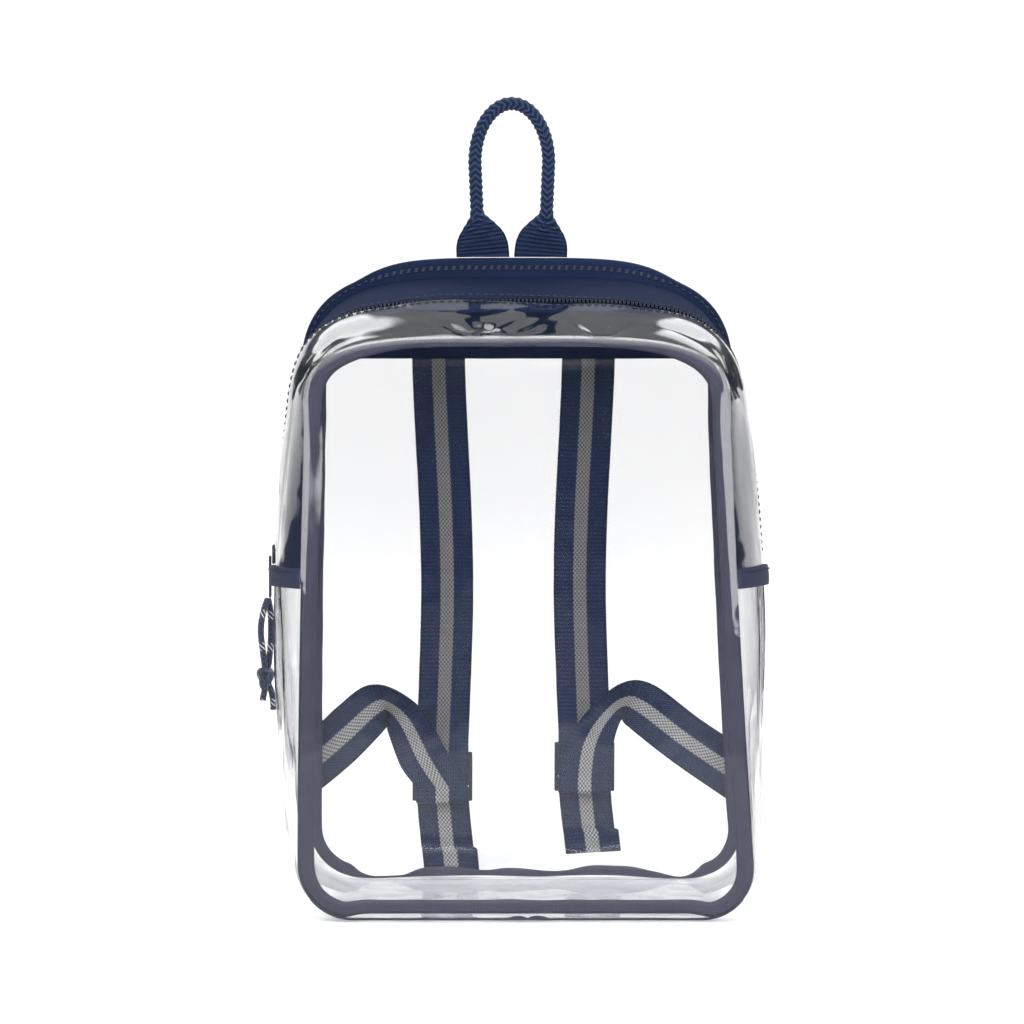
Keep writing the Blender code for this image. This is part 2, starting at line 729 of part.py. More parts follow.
def slider_frame():
    """The slider's middle on the gusset, and the directions up the zipper and out of the bag."""
    height = BAND_HEIGHT + BAND_WIDTH / 2 + SLIDER_LENGTH * 0.55
    share = -side_share(height)
    step = share_of(SLIDER_LENGTH / 2)
    above = gusset_point(share - step, ZIP_ACROSS)
    below = gusset_point(share + step, ZIP_ACROSS)
    up = Vector((above.x - below.x, 0, above.z - below.z)).normalized()
    return gusset_point(share, ZIP_ACROSS), up, Vector((-up.z, 0, up.x))


def slider_lift():
    """How far the slider's inner face stands off the gusset: clear of the coil and of the band."""
    return max(COIL_HEIGHT + GAP - FABRIC - LAP_GAP, FABRIC + GAP) + GAP


def zip_slider():
    """The slider on the coil with its pull tab, which hangs down over the band."""
    middle, up, out = slider_frame()
    near = slider_lift()
    half_length = SLIDER_LENGTH / 2
    pull_bottom = -half_length - PULL_LENGTH
    profile = (
        (near, half_length),
        (near + SLIDER_HEIGHT * 0.7, half_length),
        (near + SLIDER_HEIGHT, half_length * 0.5),
        (near + SLIDER_HEIGHT, -half_length * 0.7),
        (near + SLIDER_HEIGHT * 0.75, -half_length),
        (near + PULL_THICKNESS + GAP, -half_length - SLIDER_LIP),
        (near + PULL_THICKNESS + GAP, pull_bottom),
        (near + GAP, pull_bottom),
        (near + GAP, -half_length - SLIDER_LIP),
        (near, -half_length),
    )
    shape = bmesh.new()
    rings = []
    for side in (-1, 1):
        ring = []
        for index, (lift, rise) in enumerate(profile):
            half = PULL_WIDTH / 2 if 5 <= index <= 8 else SLIDER_WIDTH / 2
            ring.append(shape.verts.new(middle + out * lift + up * rise + Vector((0, side * half, 0))))
        rings.append(ring)
    join_rings(shape, *rings)
    shape.faces.new(rings[0])
    shape.faces.new(rings[1])
    bmesh.ops.triangulate(shape, faces=[face for face in shape.faces if len(face.verts) > 4])
    finish(shape, "zip_slider", "metal", smooth=False)


def cord_point(place):
    """The point at a distance out of the bag, backwards and down from the end of the pull."""
    middle, up, _out = slider_frame()
    end = middle - up * (SLIDER_LENGTH / 2 + PULL_LENGTH)
    out, back, down = place
    return end.x - out, end.y + back, end.z - down


def cord(name, route, spans):
    """A round cord on a smooth curve through a route."""
    points = catmull([cord_point(place) for place in route], spans)
    curve = bpy.data.curves.new(name, "CURVE")
    curve.dimensions = "3D"
    curve.bevel_depth = CORD_DIAMETER / 2
    curve.bevel_resolution = 2
    curve.use_fill_caps = True
    spline = curve.splines.new("POLY")
    spline.points.add(len(points) - 1)
    for target, point in zip(spline.points, points):
        target.co = (*point, 1.0)
    add_object(name, curve, "cord")


def zip_pull_cord():
    cord("zip_cord_front", STRAND_FRONT, 2)
    cord("zip_cord_back", STRAND_BACK, 2)
    cord("cord_end_short", END_SHORT, 2)
    cord("cord_end_long", END_LONG, 2)
    shape = bmesh.new()
    bmesh.ops.create_uvsphere(shape, u_segments=14, v_segments=9, radius=0.5)
    for vertex in shape.verts:
        turn = math.atan2(vertex.co.y, vertex.co.x)
        wrap = 1 + 0.07 * math.sin(2 * turn + vertex.co.z * 14)
        vertex.co.x *= KNOT_WIDTH * wrap
        vertex.co.y *= KNOT_WIDTH * wrap
        vertex.co.z *= KNOT_HEIGHT
        vertex.co += Vector(cord_point(KNOT_PLACE))
    finish(shape, "zip_knot", "cord")


def main():
    for item in list(bpy.data.objects):
        bpy.data.objects.remove(item)
    front_panel()
    back_panels()
    gussets()
    bindings()
    top_flange()
    carry_handle()
    for side in SIDES:
        shoulder_strap(side)
        ladder_lock(side)
        lower_strap(side)
    zip_slider()
    zip_pull_cord()


main()
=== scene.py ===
"""A small clear backpack with navy trim: finishes, vinyl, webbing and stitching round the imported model."""

import math
from collections import namedtuple

import bmesh
import bpy
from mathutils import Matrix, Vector, noise


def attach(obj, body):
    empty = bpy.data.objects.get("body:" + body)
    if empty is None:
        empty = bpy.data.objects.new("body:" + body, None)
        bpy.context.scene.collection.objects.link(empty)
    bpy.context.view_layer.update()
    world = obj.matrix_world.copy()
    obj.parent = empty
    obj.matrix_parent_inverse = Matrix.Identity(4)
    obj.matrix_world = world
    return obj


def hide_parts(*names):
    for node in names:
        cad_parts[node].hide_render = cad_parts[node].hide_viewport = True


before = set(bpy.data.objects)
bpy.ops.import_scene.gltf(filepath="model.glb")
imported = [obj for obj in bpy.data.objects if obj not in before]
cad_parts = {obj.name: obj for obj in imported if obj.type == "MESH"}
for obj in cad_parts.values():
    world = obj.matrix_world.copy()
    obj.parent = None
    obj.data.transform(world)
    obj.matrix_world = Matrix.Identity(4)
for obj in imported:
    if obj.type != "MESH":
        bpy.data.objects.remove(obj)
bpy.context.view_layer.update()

# Sizes of the bag, in metres
BAG_DEPTH = 0.100
FRONT_HEIGHT = 0.2714
BACK_HEIGHT = 0.293
FOOT_HALF_WIDTH = 0.1065
FOOT_CORNER = 0.026
SIDE_TOP = 0.225
FRONT_HALF_WIDTH = 0.0985
FRONT_SHOULDER_POWER = 4.0
BACK_HALF_WIDTH = 0.0998
BACK_SHOULDER_POWER = 3.8
SIDE_BULGE = 0.0138
BULGE_RISE = 1.0
TOP_CROWN = 0.0014
FRONT_CROWN = 0.004
BACK_CROWN = 0.002
LEAN = 0.005
YOKE_BOTTOM = BACK_HEIGHT - 0.039
VINYL = 0.001
VINYL_SHOWN = VINYL * 0.6
FABRIC = 0.0012
TAPE = 0.001
WEBBING = 0.0016
GAP = 0.0003
LAP_GAP = 0.0004
BINDING_WIDTH = 0.0075
BACK_BINDING_WIDTH = 0.006
BINDING_THICKNESS = 0.0016
FLANGE_WIDTH = 0.009
FLANGE_THICKNESS = 0.003
FLANGE_FOOT = 0.215
SHOULDER_DROP = 0.013
BAND_HEIGHT = 0.1598
BAND_WIDTH = 0.0093
BAND_DROP = 0.0104
ZIP_DRIFT = 0.007
END_REACH = 0.09
ZIP_ACROSS = 0.55
ZIP_TAPE_WIDTH = 0.026
COIL_WIDTH = 0.004
COIL_HEIGHT = 0.0018
STRIP_EDGE = 0.0032
CORD_DIAMETER = 0.003

# Zip slider and its pull
SLIDER_LENGTH = 0.009
SLIDER_WIDTH = 0.0075
SLIDER_HEIGHT = 0.0022
PULL_LENGTH = 0.0161
PULL_WIDTH = 0.004
PULL_THICKNESS = 0.0012

# Carry handle
HANDLE_RISE = 0.0731
HANDLE_HALF_SPAN = 0.0176
HANDLE_CENTRE = -0.0073
HANDLE_FOOT_WIDTH = 0.0254
HANDLE_FOOT_GAP = 0.0022
HANDLE_NECK_WIDTH = 0.0062
HANDLE_NECK_DEPTH = 0.0105
HANDLE_SPRING = 0.62

# Webbing straps and buckles
STRAP_WIDTH = 0.0254
STRAP_SPACING = 0.0692
STRAP_SHIFT = -0.0065
STRAP_LAP = 0.022
STRAP_BOW = 0.013
STRAP_RETURN = 0.016
BUCKLE_STANDOFF = 0.0135
BUCKLE_BAR = 0.004
BUCKLE_SLOT = 0.006
BUCKLE_THICKNESS = 0.0032
BUCKLE_RAIL = 0.0014
BUCKLE_CLEARANCE = 0.0005
FOLD_RADIUS = 0.0015
HEM_LENGTH = 0.011
LOOP_DEPTH = 0.014

# Shares of the half outline where its floor, corner and side end
FLOOR_END = 0.22
CORNER_END = 0.36
SIDE_END = 0.62

Outline = namedtuple("Outline", "foot_half side_half height power")
FRONT = Outline(FOOT_HALF_WIDTH, FRONT_HALF_WIDTH, FRONT_HEIGHT, FRONT_SHOULDER_POWER)
BACK = Outline(FOOT_HALF_WIDTH, BACK_HALF_WIDTH, BACK_HEIGHT, BACK_SHOULDER_POWER)

StrapRow = namedtuple("StrapRow", "drop spread bow")
STRAP_ROWS = (
    StrapRow(0.00, 1.04, 0.00),
    StrapRow(0.07, 1.03, 0.18),
    StrapRow(0.20, 1.00, 0.55),
    StrapRow(0.40, 0.95, 0.90),
    StrapRow(0.60, 0.93, 1.00),
    StrapRow(0.80, 0.96, 0.88),
)

LoopRow = namedtuple("LoopRow", "along rise out width_in width_back width_up")
LEFT_LOOP = (
    LoopRow(0.000, 0.00, 0.04, 0.10, 0.00, 1.35),
    LoopRow(0.250, 0.50, 0.42, -0.32, 0.00, 1.06),
    LoopRow(0.480, 0.97, 0.82, -0.37, -0.25, 0.86),
    LoopRow(0.590, 0.97, 1.00, 0.12, -0.60, 0.76),
    LoopRow(0.720, 0.70, 0.48, 0.68, -0.35, 0.50),
    LoopRow(0.860, 0.02, 0.34, 0.90, 0.00, 0.26),
)
RIGHT_LOOP = (
    LoopRow(0.000, 0.00, 0.04, 0.02, 0.00, 1.22),
    LoopRow(0.340, 0.45, 0.45, -0.48, 0.00, 0.86),
    LoopRow(0.640, 0.90, 0.85, -0.45, -0.20, 0.86),
    LoopRow(0.760, 0.95, 0.92, 0.02, -0.50, 0.76),
    LoopRow(0.880, 0.75, 0.38, 0.55, -0.12, 0.38),
    LoopRow(0.970, 0.40, 0.36, 0.90, 0.00, 0.12),
)

Side = namedtuple("Side", "name sign buckle_height anchor_height loop_rise tail_end tail_drift loop")
SIDES = (
    Side("left", -1, 0.0492, 0.0578, 0.0262, 0.0020, 0.0035, LEFT_LOOP),
    Side("right", 1, 0.0541, 0.0508, 0.0368, 0.0112, 0.0035, RIGHT_LOOP),
)

FootRow = namedtuple("FootRow", "share width depth")
HANDLE_FOOT_ROWS = (
    FootRow(0.00, 1.00, 1.00),
    FootRow(0.30, 0.97, 0.96),
    FootRow(0.55, 0.80, 0.80),
    FootRow(0.78, 0.45, 0.45),
    FootRow(1.00, 0.05, 0.05),
)

# The pull's cord, as distances out of the bag, backwards and down from the end of the pull
STRAND_FRONT = (
    (0.0034, -0.0022, 0.0006),
    (0.0048, -0.0046, 0.0045),
    (0.0060, -0.0074, 0.0100),
    (0.0064, -0.0076, 0.0160),
    (0.0058, -0.0074, 0.0225),
    (0.0048, -0.0070, 0.0309),
)
STRAND_BACK = (
    (0.0034, 0.0012, 0.0006),
    (0.0024, 0.0008, 0.0060),
    (0.0020, -0.0002, 0.0120),
    (0.0020, -0.0012, 0.0190),
    (0.0024, -0.0024, 0.0250),
    (0.0030, -0.0034, 0.0309),
)
END_SHORT = ((0.0050, -0.0068, 0.0443), (0.0054, -0.0074, 0.0460), (0.0056, -0.0080, 0.0480))
END_LONG = ((0.0018, -0.0040, 0.0443), (0.0012, -0.0036, 0.0480), (0.0008, -0.0034, 0.0530))
KNOT_PLACE = (0.0045, -0.0055, 0.0374)
KNOT_WIDTH = 0.0086
KNOT_HEIGHT = 0.0123

# Dents pressed into the vinyl. Side is the half outline's share, signed, across runs from the front
# seam to the back, and the reaches are in metres along and across.
Dent = namedtuple("Dent", "side across depth reach_along reach_across")
STRIP_DENTS = (
    Dent(-0.990, 0.22, 0.0008, 0.020, 0.014),
    Dent(0.955, 0.28, 0.0008, 0.022, 0.014),
    Dent(-0.84, 0.25, 0.0010, 0.020, 0.016),
    Dent(0.80, 0.26, 0.0010, 0.020, 0.016),
)
# Creases that fan out as a V from a pinch at the front seam: side is the pinch's share of the outline,
# spread is how far an arm moves along for each metre across, and reach how far the arms run
Pinch = namedtuple("Pinch", "side depth spread width reach")
PINCHES = (
    Pinch(-0.945, 0.0034, 0.75, 0.0026, 0.016),
    Pinch(0.905, 0.0032, 0.45, 0.0030, 0.020),
    Pinch(-0.992, 0.0016, 0.90, 0.0020, 0.012),
    Pinch(0.745, 0.0016, 0.50, 0.0028, 0.018),
    Pinch(-0.770, 0.0016, 0.60, 0.0028, 0.018),
)
GUSSET_DENTS = (
    Dent(-0.47, 0.30, 0.0036, 0.040, 0.010),
    Dent(0.46, 0.33, 0.0036, 0.046, 0.010),
    Dent(-0.41, 0.62, 0.0030, 0.030, 0.012),
    Dent(0.42, 0.66, 0.0030, 0.030, 0.012),
    Dent(-0.30, 0.25, 0.0026, 0.012, 0.020),
    Dent(0.30, 0.22, 0.0030, 0.012, 0.022),
    Dent(0.20, 0.15, 0.0012, 0.020, 0.012),
)

# The front panel turns back along its top, and a ridge runs down each of its sides: lean is how far the
# ridge moves across for each metre up, and it is faint below one height and full above another
TOP_ROLL = 0.0026
TOP_ROLL_REACH = 0.0095
Ridge = namedtuple("Ridge", "middle lean level width height faint faint_below full_above")
RIDGES = (
    Ridge(-0.0937, 0.06, 0.16, 0.0030, 0.0010, 0.35, 0.135, 0.16),
    Ridge(0.0895, -0.085, 0.204, 0.0032, 0.0011, 0.30, 0.08, 0.12),
)

# How finely the pieces are made, and the angles in degrees past which a fold stays sharp
OUTLINE_STEPS = 240
CUT_STEPS = 40
TAPE_STEPS = 420
KNOT_STEPS = 96
HEM_STEPS = 16
HANDLE_SIDES = 40
SHEET_FOLD = 50
TAPE_FOLD = 60
CORD_FOLD = 70

# A panel's edge sinks to its seam by this much, over this reach
SEAM_SINK = 0.0011
SEAM_REACH = 0.002

# Small forms of the webbing, the handle, the buckles and the coil
HEM_SHIFT = 0.0010
HEM_SKEW = 0.0016
RIB_PITCH = 0.0019
RIB_HEIGHT = 0.00032
BRAID_PITCH = 0.0030
BRAID_HEIGHT = 0.00022
BRAID_SLANT = 6.6
SLOT_SHOWN = BUCKLE_SLOT * 0.8
COIL_PITCH = 0.00095
TOOTH_LEAN = 0.00022
TOOTH_HALF_WIDTH = 0.00027
TOOTH_HALF_DEPTH = 0.00030
STITCH_THICK = 0.00036
STRIPE_HALF = 0.0032
SELVEDGE_INSIDE = 0.0112
SELVEDGE_OUTSIDE = 0.0120
FLECK_PITCH = 0.0152
FLECK_SHIFT = 0.145

# The view of the photograph, with its floor and lamps
CAMERA_DISTANCE = 1.93
CAMERA_RISE = 6.0
CAMERA_LENS = 148.35
CAMERA_AIM = Vector((-0.0072, -0.05, 0.1906))
SENSOR_WIDTH = 36.0
FLOOR_SIZE = 60.0
FLOOR_PLACE = (0, 28.8, -0.0002)
REFLECTED_WHITE_HALF = 0.36
WHITE_STRENGTH = 1.12
OVER_STRENGTH = 2.0
FRONT_STRENGTH = 5.0

Lamp = namedtuple("Lamp", "name place aim size power")
LAMPS = (
    Lamp("key_light", (-0.9, -1.2, 1.5), (0, 0, 0.12), (0.9, 0.9), 16),
    Lamp("fill_light", (1.2, -0.9, 0.9), (0, 0, 0.15), (0.7, 1.1), 8),
    Lamp("top_light", (0.0, 0.5, 1.6), (0, 0, 0.1), (1.6, 0.8), 9),
)


# Small tools for shapes

def catmull(rows, spans):
    """Points on a smooth curve through rows of numbers, spans of them between each two rows."""
    padded = [rows[0], *rows, rows[-1]]
    points = []
    for index in range(len(rows) - 1):
        before, start, end, after = (padded[index + k] for k in range(4))
        for step in range(spans):
            t = step / spans
            point = []
            for a, b, c, d in zip(before, start, end, after):
                point.append(0.5 * (
                    2 * b + (c - a) * t + (2 * a - 5 * b + 4 * c - d) * t * t
                    + (3 * b - a - 3 * c + d) * t ** 3
                ))
            points.append(tuple(point))
    points.append(tuple(rows[-1]))
    return points


def spread(start, end, steps):
    return [start + (end - start) * k / steps for k in range(steps + 1)]


def smooth(low, high, value):
    share = min(max((value - low) / (high - low), 0.0), 1.0)
    return share * share * (3 - 2 * share)


def settle(height):
    """How far the bag leans to the left of its foot at a height."""
    share = min(max(height / BACK_HEIGHT, 0.0), 1.0)
    return -LEAN * (1 - (1 - share) ** 2)


def half_outline(shape, share):
    """The upright half outline, from the middle of the foot (0) to the middle of the top (1)."""
    floor_half = shape.foot_half - FOOT_CORNER
    if share <= FLOOR_END:
        return floor_half * share / FLOOR_END, 0.0
    if share <= CORNER_END:
        turn = (share - FLOOR_END) / (CORNER_END - FLOOR_END) * math.pi / 2
        return floor_half + FOOT_CORNER * math.sin(turn), FOOT_CORNER * (1 - math.cos(turn))
    if share <= SIDE_END:
        up = (share - CORNER_END) / (SIDE_END - CORNER_END)
        across = shape.foot_half + (shape.side_half - shape.foot_half) * up
        return across, FOOT_CORNER + (SIDE_TOP - FOOT_CORNER) * up
    way = (share - SIDE_END) / (1 - SIDE_END)
    ease = shape.power / 2
    turn = way ** ease / (way ** ease + (1 - way) ** ease) * math.pi / 2
    across = shape.side_half * max(math.cos(turn), 0.0) ** (2 / shape.power)
    return across, SIDE_TOP + (shape.height - SIDE_TOP) * math.sin(turn) ** (2 / shape.power)


def outline_point(shape, share, outset=0.0):
    """A point of the whole outline; share runs from -1 over the foot at 0 to 1, both at the top."""
    x, z = half_outline(shape, abs(share))
    x = math.copysign(x, share) + settle(z)
    if outset:
        across, up = outward(shape, share)
        return x + across * outset, z + up * outset
    return x, z


def outward(shape, share):
    step = 0.002
    ahead = outline_point(shape, min(share + step, 1.0))
    behind = outline_point(shape, max(share - step, -1.0))
    along = Vector((ahead[0] - behind[0], ahead[1] - behind[1])).normalized()
    return along.y, -along.x


def side_share(height):
    return CORNER_END + (SIDE_END - CORNER_END) * (height - FOOT_CORNER) / (SIDE_TOP - FOOT_CORNER)


def near_bands(share):
    """1 at the level of the side bands, fading to 0 above and below them."""
    away = (abs(share) - side_share(BAND_HEIGHT)) / share_of(END_REACH)
    return max(0.0, 1 - away * away) ** 2


def share_of(height):
    return (SIDE_END - CORNER_END) * height / (SIDE_TOP - FOOT_CORNER)


def gusset_point(share, across, inset=0.0):
    """A point of the gusset, from the front seam (across 0) to the back seam (across 1).

    Round the side bands the lines across it run down towards the back, and the zipper's end back.
    """
    near = near_bands(share)
    share -= math.copysign(share_of(BAND_DROP) * across * near, share)
    across += ZIP_DRIFT / BAG_DEPTH * near * math.sin(math.pi * across)
    front = Vector(outline_point(FRONT, share))
    back = Vector(outline_point(BACK, share))
    flat = front.lerp(back, across)
    out = (Vector(outward(FRONT, share)) + Vector(outward(BACK, share))).normalized()
    up = min(flat.y / BACK_HEIGHT, 1.0) ** BULGE_RISE
    puff = SIDE_BULGE * math.sin(math.pi * up) * abs(out.x)
    puff += TOP_CROWN * max(out.y, 0.0)
    flat += out * (puff * 4 * across * (1 - across) - inset)
    return Vector((flat.x, BAG_DEPTH * (across - 0.5), flat.y))


def arch_shares(start, steps):
    """Shares of the outline from a point on the right side over the top to its twin on the left."""
    right = spread(start, 1.0, steps)
    return right + [-share for share in reversed(right[:-1])]


def seam_roll(across, reach=0.004, depth=0.0014):
    """How far a sheet turns in beside the seams at its front and back edges."""
    front = across * BAG_DEPTH
    back = (1 - across) * BAG_DEPTH
    return depth * (math.exp(-front / reach) + math.exp(-back / reach))


def pinch_depth(point):
    """The depth of the V creases in the front strip at a point."""
    total = 0.0
    far = point.y + BAG_DEPTH / 2
    for pinch in PINCHES:
        root = gusset_point(pinch.side, 0.0)
        along = math.copysign(math.hypot(point.x - root.x, point.z - root.z), point.x - root.x)
        gap = (abs(along) - pinch.spread * far) / (pinch.width + 0.10 * far)
        total += pinch.depth * math.exp(-gap * gap) * math.exp(-far / pinch.reach)
    return total


def dent_depth(dents, share, across):
    """The dents and the slow waves of a vinyl sheet at a place on the gusset."""
    point = gusset_point(share, across)
    total = pinch_depth(point) if dents is STRIP_DENTS else 0.0
    for dent in dents:
        middle = gusset_point(dent.side, dent.across)
        along = math.hypot(point.x - middle.x, point.z - middle.z) / dent.reach_along
        sideways = (point.y - middle.y) / dent.reach_across
        total += dent.depth * math.exp(-along * along - sideways * sideways)
    edge = min(across, 1 - across)
    calm = smooth(0.0, 0.12, edge) * smooth(0.0, 0.03, point.z)
    wave = noise.noise(Vector((point.x * 28, point.y * 42, point.z * 16)))
    fold = abs(noise.noise(Vector((point.x * 16 + 7, point.y * 30, point.z * 9 + 3))))
    return calm * (total + 0.0011 * wave + 0.0020 * (0.25 - fold))


# Small tools for meshes

def deselect_all():
    for item in bpy.context.selected_objects:
        item.select_set(False)


def activate(item):
    deselect_all()
    item.select_set(True)
    bpy.context.view_layer.objects.active = item


def new_piece(name, shape, look, replaced=(), flat_angle=None):
    """Make a piece of a bmesh, with its material and its body, and hide the parts it stands for."""
    bmesh.ops.recalc_face_normals(shape, faces=shape.faces)
    mesh = bpy.data.meshes.new(name)
    shape.to_mesh(mesh)
    shape.free()
    mesh.shade_smooth()
    if flat_angle is not None:
        mesh.set_sharp_from_angle(angle=math.radians(flat_angle))
    item = bpy.data.objects.new(name, mesh)
    bpy.context.collection.objects.link(item)
    return dress(item, look, replaced)


def dress(item, look, replaced=()):
    item.data.materials.clear()
    item.data.materials.append(look)
    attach(item, "root")
    if replaced:
        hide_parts(*replaced)
    return item


def sheet_between(outer, inner, places, name, look, replaced=()):
    """A closed sheet between two grids of points, with places as its UV map in metres."""
    shape = bmesh.new()
    layer = shape.loops.layers.uv.new("UVMap")
    rows = len(outer)
    columns = len(outer[0])
    place_of = {}
    grids = []
    for grid in (outer, inner):
        made = []
        for r, row in enumerate(grid):
            line = []
            for c, point in enumerate(row):
                vertex = shape.verts.new(point)
                place_of[vertex] = places[r][c]
                line.append(vertex)
            made.append(line)
        grids.append(made)
    for made in grids:
        for r in range(rows - 1):
            for c in range(columns - 1):
                shape.faces.new((made[r][c], made[r][c + 1], made[r + 1][c + 1], made[r + 1][c]))
    top, base = grids
    for r in range(rows - 1):
        for c in (0, columns - 1):
            shape.faces.new((top[r][c], top[r + 1][c], base[r + 1][c], base[r][c]))
    for c in range(columns - 1):
        for r in (0, rows - 1):
            shape.faces.new((top[r][c], top[r][c + 1], base[r][c + 1], base[r][c]))
    lay_map(shape, layer, place_of)
    return new_piece(name, shape, look, replaced, SHEET_FOLD)


def gusset_sheet(name, shares, acrosses, inset, thickness, look, replaced, dents=None,
                 roll=True):
    """A sheet that follows the gusset, rolled in at its seams and dented if it is vinyl."""
    outer = []
    inner = []
    places = []
    along = 0.0
    before = None
    for share in shares:
        middle = gusset_point(share, 0.5)
        along += (middle - before).length if before else 0.0
        before = middle
        outer_row = []
        inner_row = []
        place_row = []
        for across in acrosses:
            sink = inset + (seam_roll(across) if roll else 0.0)
            if dents is not None:
                sink += dent_depth(dents, share, across)
            outer_row.append(gusset_point(share, across, sink))
            inner_row.append(gusset_point(share, across, sink + thickness))
            place_row.append((across * BAG_DEPTH, along))
        outer.append(outer_row)
        inner.append(inner_row)
        places.append(place_row)
    return sheet_between(outer, inner, places, name, look, replaced)


def boundary_of(outline, level=None, keep_below=True):
    """A closed boundary of (x, z) points, cut at a level if one is given."""
    points = [outline_point(outline, -1 + 2 * k / OUTLINE_STEPS) for k in range(OUTLINE_STEPS)]
    if level is None:
        return points
    kept = [p for p in points if (p[1] < level) == keep_below]
    half_width = outline_half_width(outline, level)
    low = settle(level) - half_width
    high = settle(level) + half_width
    cut = [(x, level) for x in spread(low, high, CUT_STEPS)]
    if keep_below:
        cut.reverse()
    return round_the_middle(kept + cut)


def round_the_middle(points):
    """Points of a boundary in order round their middle."""
    middle_x = sum(p[0] for p in points) / len(points)
    middle_z = sum(p[1] for p in points) / len(points)
    return sorted(points, key=lambda p: math.atan2(p[1] - middle_z, p[0] - middle_x))


def outline_half_width(outline, height):
    if height <= SIDE_TOP:
        share = (height - FOOT_CORNER) / (SIDE_TOP - FOOT_CORNER)
        return outline.foot_half + (outline.side_half - outline.foot_half) * share
    rise = (height - SIDE_TOP) / (outline.height - SIDE_TOP)
    return outline.side_half * (1 - rise ** outline.power) ** (1 / outline.power)


def crowned_sheet(name, boundary, near, facing, crown, thickness, look, replaced, wave):
    """A domed sheet inside a closed boundary, its edge rolled back to the seam."""
    middle = Vector((
        (min(p[0] for p in boundary) + max(p[0] for p in boundary)) / 2,
        (min(p[1] for p in boundary) + max(p[1] for p in boundary)) / 2,
    ))
    reach = min(
        max(p[0] for p in boundary) - middle.x, max(p[1] for p in boundary) - middle.y
    )
    shares = [1.0, 0.992, 0.984, 0.974, 0.96, 0.94] + [0.91 - 0.045 * k for k in range(20)]
    shape = bmesh.new()
    layer = shape.loops.layers.uv.new("UVMap")
    rims = []
    for depth in (0.0, thickness):
        rings = []
        for share in shares:
            inside = (1 - share) * reach
            ring = []
            for x, z in boundary:
                px = middle.x + (x - middle.x) * share
                pz = middle.y + (z - middle.y) * share
                lift = crown * (1 - share ** 2) + SEAM_SINK * (1 - math.exp(-inside / SEAM_REACH))
                lift += wave(px, pz) * smooth(0.0, 0.015, inside)
                ring.append(shape.verts.new((px, near + facing * (depth + lift), pz)))
            rings.append(ring)
        lift = crown + SEAM_SINK + wave(middle.x, middle.y)
        centre = shape.verts.new((middle.x, near + facing * (depth + lift), middle.y))
        for ring, smaller in zip(rings, rings[1:]):
            join_rings(shape, ring, smaller)
        for k in range(len(boundary)):
            shape.faces.new((rings[-1][k], rings[-1][(k + 1) % len(boundary)], centre))
        rims.append(rings[0])
    join_rings(shape, *rims)
    for face in shape.faces:
        for loop in face.loops:
            loop[layer].uv = (loop.vert.co.x, loop.vert.co.z)
    return new_piece(name, shape, look, replaced, SHEET_FOLD)


def join_rings(shape, ring, other):
    count = len(ring)
    for k in range(count):
        after = (k + 1) % count
        shape.faces.new((ring[k], ring[after], other[after], other[k]))


def skin(shape, rings):
    """Join rings one after the other and close both ends."""
    for ring, other in zip(rings, rings[1:]):
        join_rings(shape, ring, other)
    shape.faces.new(rings[0])
    shape.faces.new(rings[-1])


def lay_map(shape, layer, places):
    """Give each corner of the faces its point's place on the UV map."""
    for face in shape.faces:
        for loop in face.loops:
            loop[layer].uv = places[loop.vert]


# Shared effects, as node groups

class Graph:
    """Places nodes in a tree and links them."""

    def __init__(self, tree):
        self.tree = tree
        self.count = 0

    def node(self, kind, inputs=None, **settings):
        made = self.tree.nodes.new(kind)
        made.location = (200 * (self.count % 12), -260 * (self.count // 12))
        self.count += 1
        for key, value in settings.items():
            setattr(made, key, value)
        for key, value in (inputs or {}).items():
            self.feed(made.inputs[key], value)
        return made

    def feed(self, socket, value):
        if isinstance(value, bpy.types.NodeSocket):
            self.tree.links.new(value, socket)
        else:
            socket.default_value = value

    def math(self, operation, *values):
        made = self.node("ShaderNodeMath", operation=operation)
        for socket, value in zip(made.inputs, values):
            self.feed(socket, value)
        return made.outputs[0]

    def mix(self, factor, low, high):
        made = self.node("ShaderNodeMix", data_type="RGBA")
        self.feed(made.inputs["Factor"], factor)
        self.feed(made.inputs["A"], low)
        self.feed(made.inputs["B"], high)
        return made.outputs["Result"]

    def ramp(self, value, low, high, to_low=0.0, to_high=1.0):
        made = self.node("ShaderNodeMapRange", clamp=True)
        for socket, number in zip(made.inputs, (value, low, high, to_low, to_high)):
            self.feed(socket, number)
        return made.outputs[0]


def group(name, inputs, outputs, fill):
    """A shader node group with named sockets, built once."""
    tree = bpy.data.node_groups.new(name, "ShaderNodeTree")
    for label, kind, value in inputs:
        socket = tree.interface.new_socket(label, in_out="INPUT", socket_type=kind)
        if value is not None:
            socket.default_value = value
    for label, kind in outputs:
        tree.interface.new_socket(label, in_out="OUTPUT", socket_type=kind)
    graph = Graph(tree)
    start = graph.node("NodeGroupInput")
    end = graph.node("NodeGroupOutput")
    fill(graph, start.outputs, end.inputs)
    return tree


